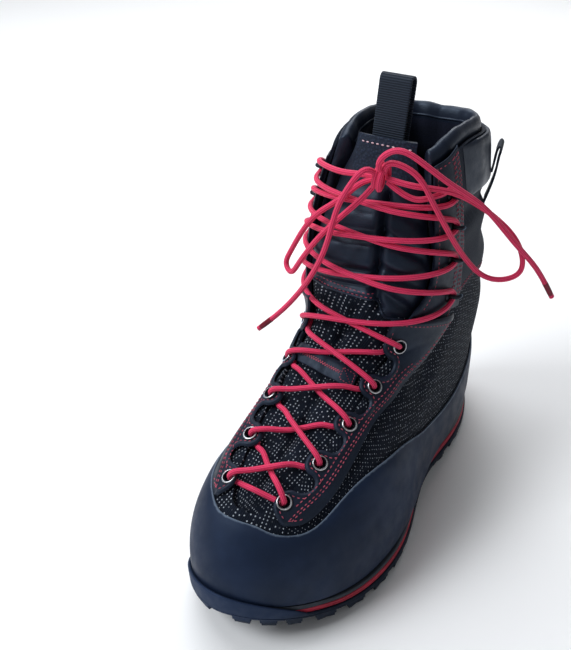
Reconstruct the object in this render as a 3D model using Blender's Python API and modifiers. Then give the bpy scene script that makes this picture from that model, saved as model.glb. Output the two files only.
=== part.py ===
"""Left arborist boot: hollow upper, rubber rand, layered lugged sole, tongue, collar and laces.

X points to the outer (lateral) side of the foot, Y to the heel and Z up from the floor.
The tables are in millimetres and the meshes are made in metres.
"""
import bmesh
import bpy
import numpy as np
from mathutils import Vector

MM = 0.001

# Last: outline of the foot where the upper meets the sole
OUTLINE = (  # place, x, y, how far the sole stands out
    ("toe", -8, -145, 5.2),
    ("lateral toe", 34, -119, 4.2),
    ("lateral ball", 55, -47, 4.2),
    ("lateral waist", 44, 22, -1.0),
    ("lateral heel", 36, 92, 4.2),
    ("heel back", 0, 145, 4.2),
    ("medial heel", -36, 92, 4.2),
    ("medial waist", -43, 16, -1.0),
    ("medial ball", -51, -61, 4.2),
    ("medial toe", -46, -117, 4.2),
)
HEEL = 5

# Last: height of the foot along its ridge, and how widely each side rounds over
INSTEP = (  # y, top z, medial rounding, lateral rounding
    (-145, 66, 32, 36),
    (-125, 77, 33, 42),
    (-103, 84, 32, 47),
    (-76, 94, 28, 52),
    (-49, 105, 24, 55),
    (-22, 117, 22, 55),
    (10, 123, 24, 50),
    (90, 105, 34, 36),
    (145, 82, 26, 26),
)
RIDGE_X = -5.0
RIDGE_BLEND = 16.0
FOOT_POWER = 2.3

# Last: level sections of the shaft
SHAFT = (  # z, front y, back y, middle x, half width
    (30, 10, 136, 0.0, 32.0),
    (70, -8, 140, -1.0, 38.0),
    (100, -6, 138, -1.5, 42.5),
    (135, -3, 130, -4.0, 46.0),
    (165, 2, 125, -5.0, 46.0),
    (200, 11, 118, -3.5, 43.5),
    (245, 23, 111, 2.0, 35.0),
)
SHAFT_POWER = 2.9
ANKLE_BLEND = (  # y, radius that joins foot and shaft
    (-20, 34),
    (60, 22),
    (130, 6),
)

# Sole
LUG_DEPTH = 5.5
PLATE = 3.5
TOE_SPRING = 19.0
TOE_BREAK_Y = -72.0
HEEL_BEVEL = 3.0
HEEL_BREAK_Y = 118.0
SOLE_END_Y = 149.0
ARCH_RISE = 3.0
ARCH_Y = (2.0, 50.0)
LAYERS = (  # y, red midsole, grey wedge
    (-150, 2.5, 4.0),
    (-75, 5.0, 4.0),
    (-20, 5.0, 6.0),
    (30, 5.0, 10.0),
    (80, 5.0, 14.0),
    (150, 4.5, 16.0),
)
BUMPER_REACH = 0.15
BUMPER_RISE = 11.0
BUMPER_IN = 2.7
LAYER_IN_TOE = 2.4
INSOLE = 3.5

# Walls and clearances
WALL = 2.0
GAP = 0.3
RAND_WALL = 2.0
RAND_LIFT = 1.0
EYESTAY_WALL = 1.2
EYESTAY_SEAT = 1.5
TONGUE_WALL = 5.0

# Throat, measured up the front of the boot from the toe cap
FRONT_PIVOT = (70.0, 45.0)
FRONT_SWEEP = (172.0, 100.0)
THROAT_FOOT_Y = -117.0
FRONT_CORE = 45.0
LACE_AXIS = (  # up the front, x of the lacing's middle
    (0, -5.5),
    (76, -6.0),
    (107, -8.0),
    (137, -7.0),
    (165, -1.0),
    (270, 1.5),
)
THROAT = (  # up the front, turn to the medial edge of the opening, turn to the lateral edge
    (14, 10.5, 13.0),
    (40, 14.5, 20.0),
    (71, 19.0, 23.0),
    (99, 21.5, 28.5),
    (124, 30.0, 35.5),
    (136, 39.0, 47.0),
    (148, 48.0, 58.0),
    (167, 54.0, 60.0),
    (186, 54.0, 55.0),
    (209, 52.0, 48.0),
    (226, 48.0, 43.0),
)
COLLAR_CORNER = 0.66
PAIRING = (  # along the topline, along the outline below it
    (0.00, 0.00),
    (0.20, 0.20),
    (0.40, 0.43),
    (0.66, 0.74),
    (1.00, 1.00),
)
COLLAR_RIM = (  # turn from the front in degrees, z
    (40, 229.0),
    (65, 234.0),
    (90, 235.0),
    (140, 230.0),
    (180, 228.0),
)
LACING = (  # up the front, turn to the medial fitting, turn to the lateral fitting
    (12, 20.0, 24.0),
    (41, 23.0, 31.0),
    (70, 27.0, 35.0),
    (98, 33.0, 40.0),
    (123, 41.0, 47.0),
    (146, 72.0, 84.0),
    (172, 74.0, 79.0),
    (193, 72.0, 71.0),
    (211, 66.0, 63.0),
)
EYELETS = 5
EYESTAY = (  # up the front, turn to the medial border, turn to the lateral border
    (3, 23.0, 30.0),
    (13, 30.0, 37.0),
    (36, 33.0, 42.0),
    (60, 35.0, 42.5),
    (87, 40.0, 47.0),
    (109, 50.0, 58.0),
    (126, 68.0, 80.0),
    (137, 82.0, 94.0),
)
NOTCH_TURN = 13.0
EYESTAY_COLUMNS = 31
EYESTAY_ROWS = 4

# Where the panels of the upper end, along each side from toe to heel
PANELS = (  # along, rand from the sole, seam from the edge, upper's own edge from the opening
    (0.00, 46.0, 6.0, 1.0),
    (0.04, 46.0, 17.0, 8.0),
    (0.08, 48.0, 24.0, 14.0),
    (0.13, 55.0, 25.0, 14.0),
    (0.20, 60.0, 25.0, 14.0),
    (0.32, 56.0, 25.0, 14.0),
    (0.36, 53.0, 29.0, 14.0),
    (0.43, 48.0, 39.0, 3.0),
    (0.50, 44.0, 54.0, 1.0),
    (0.58, 41.0, 78.0, 0.0),
    (0.66, 38.0, 96.0, 0.0),
    (0.80, 34.0, 98.0, 0.0),
    (1.00, 36.0, 98.0, 0.0),
)

THROAT_COLUMNS = 17
COLLAR_COLUMNS = 8
RAND_ROWS = 4
PANEL_ROWS = 3
EDGE_ROWS = 5

# Lugs along the edges of the sole
EDGE_LUGS = (  # side, start along, end along, depth, lean
    (1, 0.030, 0.058, 30, 3),
    (1, 0.072, 0.100, 30, 5),
    (1, 0.114, 0.142, 26, 6),
    (1, 0.165, 0.205, 17, 4),
    (1, 0.228, 0.268, 16, 3),
    (1, 0.291, 0.331, 16, 3),
    (1, 0.354, 0.394, 16, 2),
    (1, 0.417, 0.457, 15, 2),
    (1, 0.480, 0.515, 13, 0),
    (1, 0.640, 0.690, 17, -3),
    (1, 0.720, 0.770, 17, -3),
    (1, 0.800, 0.855, 18, -2),
    (1, 0.890, 0.980, 16, 0),
    (-1, 0.012, 0.070, 34, 0),
    (-1, 0.082, 0.150, 36, 0),
    (-1, 0.162, 0.232, 36, 0),
    (-1, 0.244, 0.312, 33, 0),
    (-1, 0.336, 0.378, 20, 3),
    (-1, 0.401, 0.443, 19, 3),
    (-1, 0.466, 0.508, 17, 2),
    (-1, 0.540, 0.575, 11, 0),
    (-1, 0.640, 0.690, 17, -3),
    (-1, 0.720, 0.770, 17, -3),
    (-1, 0.800, 0.855, 18, -2),
    (-1, 0.890, 0.980, 16, 0),
)
CENTRE_LUGS = (  # x, y, radius, turn in degrees
    (12, -92, 9, 20),
    (26, -68, 9, 70),
    (6, -60, 9, 0),
    (24, -42, 9, 40),
    (2, -34, 9, 85),
    (18, -16, 9, 10),
    (-6, -8, 8, 50),
    (12, 8, 6, 30),
    (0, 72, 9, 90),
    (0, 94, 9, 30),
    (0, 116, 7, 90),
)
LUG_DRAFT = 0.9
LUG_EMBED = 1.2

# Tongue and padded collar
TONGUE = (  # up the front, half turn, face below the last
    (-6, 17.0, 3.6),
    (16, 28.0, 3.6),
    (46, 34.0, 3.6),
    (76, 38.0, 3.6),
    (107, 42.0, 3.6),
    (137, 56.0, 3.6),
    (165, 62.0, 3.8),
    (190, 53.0, 7.5),
    (205, 48.0, 9.6),
    (233, 40.0, 9.6),
)
TONGUE_ACROSS = 10
TONGUE_UP = 17
CUFF_SECTION = (  # below the rim, off the last
    (36.0, 0.7),
    (18.0, 0.7),
    (1.5, 0.7),
    (0.5, 2.4),
    (7.0, 4.6),
    (24.0, 4.8),
    (34.0, 3.0),
)
LINER_SECTION = (  # below the rim, off the last
    (34.0, -3.0),
    (18.0, -3.0),
    (2.0, -3.0),
    (-5.0, -1.8),
    (-9.5, -4.6),
    (-5.0, -8.2),
    (12.0, -9.2),
    (28.0, -7.8),
)
PAD_TAPER = (0.60, 0.74)

# Webbing: pull loops and the strap over the instep
WEBBING = 1.4
TONGUE_LOOP_WIDTH = 20.0
TONGUE_LOOP_X = -1.0
TONGUE_LOOP_RISE = 34.0
TONGUE_LOOP_HOLD = 20.0
TONGUE_LOOP_BEND = 3.0
TONGUE_LOOP_BACK = 1.8
HEEL_LOOP_WIDTH = 14.0
HEEL_LOOP_ALONG = 0.865
HEEL_LOOP = (  # below the rim, off the last
    (50.0, 1.3),
    (44.0, 3.4),
    (34.0, 6.8),
    (22.0, 9.2),
    (13.0, 11.0),
    (9.5, 11.0),
    (10.5, 8.6),
    (20.0, 6.2),
    (27.0, 5.8),
)
STRAP_WIDTH = 12.0
STRAP_ENDS = ((-30.0, 106.0), (26.0, 97.0))  # turn, up the front

# Eyelets, hooks and the lace between them
EYELET_RADIUS = 3.4
EYELET_WIRE = 1.1
EYELET_CLEAR = 0.7
HOOK_WIRE = 1.3
HOOK_BEND = (  # turn back from the throat, off the last
    (0.0, 0.5),
    (0.0, 3.0),
    (1.5, 5.2),
    (5.0, 6.0),
    (8.5, 5.0),
)
LACE = 4.0
LACE_CROSS = 2.8
LACE_LEVELS = (  # height of each bar near its ends, in its middle
    (5.6, 2.8),
    (5.6, 2.8),
    (5.6, 2.8),
    (5.6, 2.8),
    (6.0, 5.8),
    (4.4, 3.2),
    (4.4, 3.2),
    (4.4, 3.2),
)
LACE_STEP = 13.0
LACE_AT_EYELETS = (10.0, 5.8)  # turn in from the eyelets, off the last
LACE_AT_HOOKS = (5.5, 3.8)
LACE_TO_KNOT = (  # from the last hook of the lateral side, then of the medial side: x, y, z
    ((30, 18, 215), (20.5, 12.5, 219.5)),
    ((-16, 12, 224), (-0.5, 10.4, 226.1)),
)

# Bow: knot, two loops and two free ends
KNOT = (10.0, 10.0, 227.0)
KNOT_RADIUS = 6.0
CORD_CLEAR = 0.8
CORD = 3.6
CORD_STEP = 10.5
LACE_LOOPS = {  # x, y, z from the knot and back to it
    "lace_loop_lateral": (
        (15, 8, 236), (27, 12, 233), (36, 17, 219), (44, 25, 198), (52, 42, 171), (67, 54, 157),
        (78, 62, 161), (78, 62, 173), (67, 56, 192), (52, 45, 207), (40, 27, 219), (26, 14, 224),
    ),
    "lace_loop_medial": (
        (-1, 9, 222), (-11, 6, 213), (-28, 4, 199), (-41, 4, 182), (-49, 4, 168), (-51, 2.5, 160.5),
        (-46.5, -0.5, 158), (-40, -2, 164.5), (-33, -2.5, 175), (-24, -3, 187), (-9, 0, 204), (3, 4, 217),
    ),
}
LACE_ENDS = {  # x, y, z from the knot to the free end
    "lace_end_lateral": (
        (11, 5, 237), (20, 6, 245), (32, 11, 240), (44, 20, 228), (60, 41, 207), (75, 54, 184),
        (87, 66, 164), (97, 74, 143),
    ),
    "lace_end_medial": (
        (5, 2, 233), (-2, -3, 225), (-9, -6, 210), (-14, -9, 190), (-24, -9, 168), (-38, -7, 147),
        (-51, -9, 131), (-64, -14, 118),
    ),
}


def smooth(table, value=1):
    """Natural cubic curve through two columns of a table, held level beyond its ends."""
    x = np.array([row[0] for row in table], float)
    y = np.array([row[value] for row in table], float)
    step = np.diff(x)
    count = len(x)
    matrix = np.eye(count)
    side = np.zeros(count)
    for i in range(1, count - 1):
        matrix[i, i - 1:i + 2] = step[i - 1], 2 * (step[i - 1] + step[i]), step[i]
        side[i] = 6 * ((y[i + 1] - y[i]) / step[i] - (y[i] - y[i - 1]) / step[i - 1])
    bend = np.linalg.solve(matrix, side)

    def at(where):
        where = np.clip(np.asarray(where, float), x[0], x[-1])
        i = np.clip(np.searchsorted(x, where) - 1, 0, count - 2)
        a = (x[i + 1] - where) / step[i]
        b = 1 - a
        curve = (a ** 3 - a) * bend[i] + (b ** 3 - b) * bend[i + 1]
        return a * y[i] + b * y[i + 1] + curve * step[i] ** 2 / 6

    return at


def straight(table, value=1):
    """Straight lines through two columns of a table."""
    x = [row[0] for row in table]
    y = [row[value] for row in table]
    return lambda where: np.interp(where, x, y)


def lengths(points):
    """Distance along a line of points."""
    steps = np.linalg.norm(np.diff(points, axis=0), axis=1)
    return np.concatenate([[0.0], np.cumsum(steps)])


def along_line(points, where):
    """Points at the given distances along a line of points."""
    run = lengths(points)
    return np.stack([np.interp(where, run, points[:, k]) for k in range(points.shape[1])], axis=1)


def closed_outline(count=480):
    """Rounded outline through OUTLINE: x, y and the sole's margin, evenly spaced from the toe."""
    knots = np.array([row[1:4] for row in OUTLINE], float)
    total = len(knots)
    chord = np.linalg.norm(np.roll(knots, -1, 0)[:, :2] - knots[:, :2], axis=1) ** 0.75
    start = np.concatenate([[0.0], np.cumsum(chord)])
    matrix = np.zeros((total, total))
    side = np.zeros((total, 3))
    for i in range(total):
        before, after = chord[i - 1], chord[i]
        matrix[i, i - 1] += before
        matrix[i, i] += 2 * (before + after)
        matrix[i, (i + 1) % total] += after
        side[i] = 6 * ((knots[(i + 1) % total] - knots[i]) / after - (knots[i] - knots[i - 1]) / before)
    bend = np.linalg.solve(matrix, side)
    at = np.linspace(0, start[-1], 8 * count, endpoint=False)
    i = np.searchsorted(start, at, side="right") - 1
    j = (i + 1) % total
    a = ((start[i + 1] - at) / chord[i])[:, None]
    b = 1 - a
    curve = (a ** 3 - a) * bend[i] + (b ** 3 - b) * bend[j]
    dense = a * knots[i] + b * knots[j] + curve * (chord[i] ** 2)[:, None] / 6
    halves = []
    heel = int(np.argmin(np.abs(at - start[HEEL])))
    for half in (dense[:heel + 1], np.vstack([dense[heel:], dense[:1]])):
        run = lengths(half[:, :2])[-1]
        places = np.linspace(0, run, count // 2, endpoint=False)
        shares = lengths(half[:, :2])
        halves.append(np.stack([np.interp(places, shares, half[:, k]) for k in range(3)], axis=1))
    return np.vstack(halves)


RIM = closed_outline()
HALF = len(RIM) // 2
foot_top = smooth(INSTEP, 1)
medial_round = smooth(INSTEP, 2)
lateral_round = smooth(INSTEP, 3)
shaft_front = smooth(SHAFT, 1)
shaft_back = smooth(SHAFT, 2)
shaft_middle = smooth(SHAFT, 3)
shaft_half = smooth(SHAFT, 4)
ankle_blend = straight(ANKLE_BLEND)
red_layer = straight(LAYERS, 1)
grey_layer = smooth(LAYERS, 2)
lace_axis = straight(LACE_AXIS)
collar_rim = smooth(COLLAR_RIM)
paired = smooth(PAIRING)
rand_top = smooth(PANELS, 1)
border_in = straight(PANELS, 2)
edge_in = straight(PANELS, 3)
tongue_turn = smooth(TONGUE, 1)
tongue_depth = straight(TONGUE, 2)


def tread(y):
    """Height of the lugs' lower faces: flat at ball and heel, with toe spring and heel bevel."""
    toe = np.clip((TOE_BREAK_Y - y) / (TOE_BREAK_Y + SOLE_END_Y), 0, 1) ** 2
    heel = np.clip((y - HEEL_BREAK_Y) / (SOLE_END_Y - HEEL_BREAK_Y), 0, 1) ** 2
    return TOE_SPRING * toe + HEEL_BEVEL * heel


def plate_top(y):
    return tread(y) + LUG_DEPTH + PLATE


def feather(y):
    """Height where the upper meets the sole."""
    return plate_top(y) + red_layer(y) + grey_layer(y)


def outline_distance(x, y):
    """Distance in from the last's outline, below zero outside it."""
    place = np.stack([np.ravel(x), np.ravel(y)], axis=1)
    corners = RIM[::2, :2]
    ends = np.roll(corners, -1, axis=0)
    nearest = np.full(len(place), 1e9)
    inside = np.zeros(len(place), bool)
    for start, end in zip(corners, ends):
        edge = end - start
        from_start = place - start
        share = np.clip(from_start @ edge / (edge @ edge), 0, 1)
        nearest = np.minimum(nearest, ((from_start - share[:, None] * edge) ** 2).sum(axis=1))
        spans = (start[1] > place[:, 1]) != (end[1] > place[:, 1])
        slope = edge[0] / edge[1] if abs(edge[1]) > 1e-9 else 0.0
        inside ^= spans & (place[:, 0] < start[0] + (place[:, 1] - start[1]) * slope)
    return np.where(inside, np.sqrt(nearest), -np.sqrt(nearest)).reshape(np.shape(x))


CHART_X = np.arange(-130, 131)
CHART_Y = np.arange(-220, 221)
CHART = outline_distance(*np.meshgrid(CHART_X, CHART_Y, indexing="ij"))


def inside_distance(x, y):
    """Distance in from the outline, read from a chart of whole millimetres."""
    x = np.clip(x - CHART_X[0], 0, len(CHART_X) - 1.001)
    y = np.clip(y - CHART_Y[0], 0, len(CHART_Y) - 1.001)
    i, j = x.astype(int), y.astype(int)
    u, v = x - i, y - j
    near = CHART[i, j] * (1 - v) + CHART[i, j + 1] * v
    far = CHART[i + 1, j] * (1 - v) + CHART[i + 1, j + 1] * v
    return near * (1 - u) + far * u


def foot_form(x, y, z):
    """Signed distance to the foot, a rounded height over its outline."""
    inside = inside_distance(x, y)
    side = 0.5 + 0.5 * np.tanh((x - RIDGE_X) / RIDGE_BLEND)
    reach = medial_round(y) + (lateral_round(y) - medial_round(y)) * side
    base, top = feather(y), foot_top(y)
    short = 1 - np.clip(inside / reach, 0, 1)
    height = base + (top - base) * (1 - short ** FOOT_POWER) ** (1 / FOOT_POWER) + 6 * np.minimum(inside, 0)
    share = np.clip((z - base) / (top - base), 0, 1)
    inset = reach * (1 - (1 - share ** FOOT_POWER) ** (1 / FOOT_POWER))
    over = np.maximum(z - top, 0)
    level = np.where(over > 0, np.hypot(np.maximum(inset - inside, 0), 3 * over), inset - inside)
    upright = z - height
    return np.sign(upright) * np.abs(upright * level) / (np.hypot(upright, level) + 1e-9)


def shaft_form(x, y, z):
    """Signed distance to the shaft, level rounded sections over the heel."""
    front, back = shaft_front(z), shaft_back(z)
    half = shaft_half(z)
    run = (back - front) / 2
    across = np.abs(x - shaft_middle(z)) / half
    length = np.abs(y - (front + back) / 2) / run
    size = (across ** SHAFT_POWER + length ** SHAFT_POWER) ** (1 / SHAFT_POWER) + 1e-9
    slope_x = (across / size) ** (SHAFT_POWER - 1) / half
    slope_y = (length / size) ** (SHAFT_POWER - 1) / run
    return (size - 1) / np.sqrt(slope_x ** 2 + slope_y ** 2 + 1e-12)


def boot_form(points):
    """Signed distance to the whole last, foot and shaft joined by a soft ankle."""
    x, y, z = points[..., 0], points[..., 1], points[..., 2]
    foot, shaft = foot_form(x, y, z), shaft_form(x, y, z)
    radius = ankle_blend(y)
    return np.minimum(foot, shaft) - np.maximum(radius - np.abs(foot - shaft), 0) ** 2 / (4 * radius)


def cast(start, direction, inner, outer, level=0.0):
    """Where rays leave the last's surface, or the one that lies level outside it."""
    low = np.full(start.shape[:-1], float(inner))
    high = np.full(start.shape[:-1], float(outer))
    for _ in range(34):
        middle = (low + high) / 2
        outside = boot_form(start + direction * middle[..., None]) > level
        high = np.where(outside, middle, high)
        low = np.where(outside, low, middle)
    return start + direction * ((low + high) / 2)[..., None]


def normals(points, step=0.4):
    """Outward direction of the last's surface."""
    slopes = []
    for axis in np.eye(3):
        slopes.append(boot_form(points + axis * step) - boot_form(points - axis * step))
    slope = np.stack(slopes, axis=-1)
    return slope / np.linalg.norm(slope, axis=-1, keepdims=True)


def front_line(count=140):
    """Line up the front of the boot from the toe cap to above the collar, and its outward normals."""
    turn = np.radians(np.linspace(*FRONT_SWEEP, count))
    direction = np.stack([0 * turn, np.cos(turn), np.sin(turn)], axis=1)
    start = np.tile([RIDGE_X, *FRONT_PIVOT], (count, 1))
    points = cast(start, direction, 20, 240)
    foot = np.interp(THROAT_FOOT_Y, points[:, 1], np.arange(count))
    run = lengths(points)
    return points, run - np.interp(foot, np.arange(count), run)


FRONT, FRONT_RUN = front_line()


def front_at(up):
    """Point and outward direction up the front line."""
    point = np.stack([np.interp(up, FRONT_RUN, FRONT[:, k]) for k in range(3)], axis=-1)
    ahead = np.stack([np.interp(up + 4.0, FRONT_RUN, FRONT[:, k]) for k in range(3)], axis=-1)
    behind = np.stack([np.interp(up - 4.0, FRONT_RUN, FRONT[:, k]) for k in range(3)], axis=-1)
    rise = ahead - behind
    outward = np.stack([0 * rise[..., 0], -rise[..., 2], rise[..., 1]], axis=-1)
    return point, outward / np.linalg.norm(outward, axis=-1, keepdims=True)


def front_surface(up, turn, level=0.0):
    """Point of the boot's front at a height up the front line, turned in degrees about a core behind it."""
    up, turn = np.broadcast_arrays(np.asarray(up, float), np.asarray(turn, float))
    point, outward = front_at(up)
    core = point - outward * FRONT_CORE
    core[..., 0] = lace_axis(up)
    spin = np.radians(turn)
    direction = outward * np.cos(spin)[..., None] + np.array([1.0, 0, 0]) * np.sin(spin)[..., None]
    return cast(core, direction, 2, 95, level)


def throat_edge(side):
    """Edge of the eyestay on one side from the toe cap to the collar, with its place up the front."""
    turn = smooth(THROAT, 2 if side > 0 else 1)
    first_up = THROAT[0][0]
    bow = np.radians(np.linspace(0, 90, 12))
    rise = np.linspace(first_up, THROAT[-1][0], 60)[1:]
    up = np.concatenate([first_up * (1 - np.cos(bow)), rise])
    open_turn = np.concatenate([turn(first_up) * np.sin(bow), turn(rise)])
    return front_surface(up, side * open_turn), up


def collar_edge(side, corner):
    """Rim of the collar on one side from the eyestay's corner to the back."""
    middle = (shaft_front(corner[2]) + shaft_back(corner[2])) / 2
    begin = np.degrees(np.arctan2(side * (corner[0] - shaft_middle(corner[2])), middle - corner[1]))
    turn = np.linspace(begin, 180, 40)
    settle = np.clip(1 - (turn - begin) / 30, 0, 1) ** 2
    height = collar_rim(turn) + (corner[2] - collar_rim(begin)) * settle
    core = np.stack([shaft_middle(height), (shaft_front(height) + shaft_back(height)) / 2, height], axis=1)
    spin = np.radians(turn)
    return cast(core, np.stack([side * np.sin(spin), -np.cos(spin), 0 * spin], axis=1), 5, 120)


THROAT_EDGE = {side: throat_edge(side) for side in (1, -1)}
COLLAR_EDGE = {side: collar_edge(side, THROAT_EDGE[side][0][-1]) for side in (1, -1)}


def topline(side, along):
    """Upper limit of the upper on one side: eyestay edge from toe to collar, then the collar's rim."""
    throat, collar = THROAT_EDGE[side][0], COLLAR_EDGE[side]
    share = np.clip(along / COLLAR_CORNER, 0, 1)
    on_throat = along_line(throat, share * lengths(throat)[-1])
    share = np.clip((along - COLLAR_CORNER) / (1 - COLLAR_CORNER), 0, 1)
    on_collar = along_line(collar, share * lengths(collar)[-1])
    return np.where((along <= COLLAR_CORNER)[:, None], on_throat, on_collar)


def outline_at(side, along):
    """Outline point, outward direction and sole margin at a share of one side from toe to heel."""
    index = along * HALF if side > 0 else (2 * HALF - along * HALF)
    ring = np.vstack([RIM, RIM, RIM])
    places = np.arange(len(ring)) - len(RIM)
    spot = np.stack([np.interp(index, places, ring[:, k]) for k in range(3)], axis=1)
    ahead = np.stack([np.interp(index + 1.5, places, ring[:, k]) for k in range(2)], axis=1)
    behind = np.stack([np.interp(index - 1.5, places, ring[:, k]) for k in range(2)], axis=1)
    run = ahead - behind
    out = np.stack([-run[:, 1], run[:, 0]], axis=1)
    out *= np.sign(np.einsum("ij,ij->i", out, spot[:, :2]))[:, None]
    return spot[:, :2], out / np.linalg.norm(out, axis=1)[:, None], spot[:, 2]


def unit_rows(vectors):
    """Vectors scaled to length one."""
    return vectors / np.linalg.norm(vectors, axis=-1, keepdims=True)


def side_lines(side, along, count=48):
    """Lines over the last from its outline to the topline, one for each place along a side."""
    spot, out, _ = outline_at(side, paired(along))
    foot = np.column_stack([spot, feather(spot[:, 1]) + GAP])
    top = topline(side, along)
    share = np.linspace(0, 1, count)[None, :, None]
    start = foot[:, None] + (top - foot)[:, None] * share
    out = np.column_stack([out, 0 * along])[:, None] * (1 - share) + normals(top)[:, None] * share
    out -= np.einsum("ijk,ik->ij", out, unit_rows(top - foot))[..., None] * unit_rows(top - foot)[:, None]
    lines = cast(start, unit_rows(out), -30, 60)
    lines[:, 0] = foot
    return lines


def rows_between(lines, cuts, counts):
    """Points on each line between successive cuts, which are distances along it."""
    rows = []
    for line, own in zip(lines, cuts):
        places = [own[:1]]
        for start, end, count in zip(own[:-1], own[1:], counts):
            places.append(np.linspace(start, end, count + 1)[1:])
        rows.append(along_line(line, np.concatenate(places)))
    return np.array(rows)


def panel_points(side, along, from_edge, height=0.0):
    """Points at a distance from the topline along the last, raised off its surface."""
    along = np.atleast_1d(np.asarray(along, float))
    from_edge = np.broadcast_to(np.asarray(from_edge, float), along.shape)
    points = []
    for line, inset in zip(side_lines(side, along), from_edge):
        run = lengths(line)[-1]
        spot = along_line(line, np.array([min(run - inset, run)]))[0]
        tip = line[-1] - line[-3]
        points.append(spot + tip / np.linalg.norm(tip) * max(-inset, 0.0))
    points = np.array(points)
    return points + normals(points) * np.asarray(height, float).reshape(-1, 1)


ALONG = np.concatenate([
    np.linspace(0, COLLAR_CORNER, THROAT_COLUMNS + 1),
    np.linspace(COLLAR_CORNER, 1, COLLAR_COLUMNS + 1)[1:],
])
RING_ALONG = np.concatenate([ALONG, ALONG[-2:0:-1]])


def all_round(function):
    """Values of function(side, along) around the boot: lateral toe to heel, then medial heel to toe."""
    lateral = function(1, ALONG)
    medial = function(-1, ALONG[-2:0:-1])
    return [np.concatenate(pair) for pair in zip(lateral, medial)]


RING_SPOT, RING_OUT, RING_MARGIN = all_round(outline_at)


def clear_scene():
    for item in list(bpy.data.objects):
        bpy.data.objects.remove(item, do_unlink=True)


def collection(name):
    made = bpy.data.collections.new(name)
    bpy.context.scene.collection.children.link(made)
    return made


def material(name, colour, roughness, metallic=0.0):
    made = bpy.data.materials.new(name)
    made.use_nodes = True
    shader = made.node_tree.nodes["Principled BSDF"]
    shader.inputs["Base Color"].default_value = (*colour, 1.0)
    shader.inputs["Roughness"].default_value = roughness
    shader.inputs["Metallic"].default_value = metallic
    return made


def add_object(name, data, finish, group):
    made = bpy.data.objects.new(name, data)
    made.data.materials.append(finish)
    group.objects.link(made)
    return made


def add_mesh(name, bm, finish, group):
    """Object from a bmesh held in millimetres."""
    bmesh.ops.scale(bm, vec=(MM, MM, MM), verts=bm.verts)
    bmesh.ops.recalc_face_normals(bm, faces=bm.faces)
    mesh = bpy.data.meshes.new(name)
    bm.to_mesh(mesh)
    bm.free()
    return add_object(name, mesh, finish, group)


def grid_sheet(points, closed=False):
    """Open sheet through a columns by rows by 3 array of points, joined round where closed."""
    if closed:
        points = np.concatenate([points, points[:1]])
    columns, rows = points.shape[0] - 1, points.shape[1] - 1
    bm = bmesh.new()
    bmesh.ops.create_grid(bm, x_segments=columns, y_segments=rows, size=1.0)
    for vertex in bm.verts:
        column = round((vertex.co.x + 1) / 2 * columns)
        row = round((vertex.co.y + 1) / 2 * rows)
        vertex.co = points[column, row]
    bmesh.ops.remove_doubles(bm, verts=bm.verts, dist=0.01)
    return bm


def shell(name, points, wall, outward, finish, group, closed=False):
    """Solid wall grown from a sheet of points, outward of the boot or inward."""
    made = add_mesh(name, grid_sheet(points, closed), finish, group)
    middle = np.array(points.shape[:2]) // 2
    spot = points[middle[0], middle[1]]
    normal = normals(spot[None])[0]
    polygon = min(made.data.polygons, key=lambda face: np.linalg.norm(np.array(face.center) - spot * MM))
    if np.dot(polygon.normal, normal) < 0:
        made.data.flip_normals()
    thick = made.modifiers.new("wall", "SOLIDIFY")
    thick.thickness = wall * MM
    thick.offset = 1.0 if outward else -1.0
    thick.use_even_offset = True
    thick.use_quality_normals = True
    return made


def loft(loops, strips=False):
    """Closed solid through loops of points, capped at both ends by one face or by cross strips."""
    bm = bmesh.new()
    rings = [[bm.verts.new(point) for point in loop] for loop in loops]
    count = len(rings[0])
    for lower, upper in zip(rings[:-1], rings[1:]):
        for i in range(count):
            j = (i + 1) % count
            bm.faces.new((lower[i], lower[j], upper[j], upper[i]))
    for ring in (rings[0], rings[-1]):
        if not strips:
            bm.faces.new(ring)
            continue
        for i in range(count // 2):
            around = [ring[i], ring[i + 1], ring[(count - i - 1) % count], ring[(count - i) % count]]
            corners = list(dict.fromkeys(around))
            for j in range(1, len(corners) - 1):
                bm.faces.new((corners[0], corners[j], corners[j + 1]))
    return bm


def sole_loop(offset, height):
    """Loop round the sole at an offset from the last's outline, at a height worked out from y."""
    spot = RING_SPOT + RING_OUT * np.reshape(offset, (-1, 1))
    return np.column_stack([spot, height(spot[:, 1])])


def layer_offset(recess):
    """How far a midsole layer stands out: inside the toe bumper, then back from the sole's edge."""
    blend = np.clip((RING_ALONG - BUMPER_REACH - 0.02) / 0.05, 0, 1)
    return LAYER_IN_TOE + (RING_MARGIN - recess - LAYER_IN_TOE) * blend


def lug(bm, outline):
    """Prism from inside the plate down to the tread, drafted towards its lower face."""
    outline = np.asarray(outline, float)
    middle = outline.mean(axis=0)
    run = outline - middle
    lower = middle + run * (1 - LUG_DRAFT / np.linalg.norm(run, axis=1))[:, None]
    top = [bm.verts.new((x, y, tread(y) + LUG_DEPTH + LUG_EMBED)) for x, y in outline]
    bottom = [bm.verts.new((x, y, tread(y) + arch_rise(y))) for x, y in lower]
    bm.faces.new(top)
    bm.faces.new(bottom)
    for i in range(len(top)):
        j = (i + 1) % len(top)
        bm.faces.new((top[i], top[j], bottom[j], bottom[i]))


def arch_rise(y):
    """How far the lugs of the arch stay off the floor."""
    start, end = ARCH_Y
    return ARCH_RISE * np.clip(np.minimum(y - start, end - y) / 12, 0, 1)


def edge_lug(side, start, end, depth, lean):
    """Outline of a lug that follows the sole's edge."""
    along = np.linspace(start, end, 3)
    spot, out, margin = outline_at(side, along)
    outer = spot + out * (margin - 0.4)[:, None]
    heading = (outer[2] - outer[0]) / np.linalg.norm(outer[2] - outer[0])
    inner = outer[[2, 0]] - out[[2, 0]] * depth + heading * lean
    return np.vstack([outer, inner])


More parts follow.
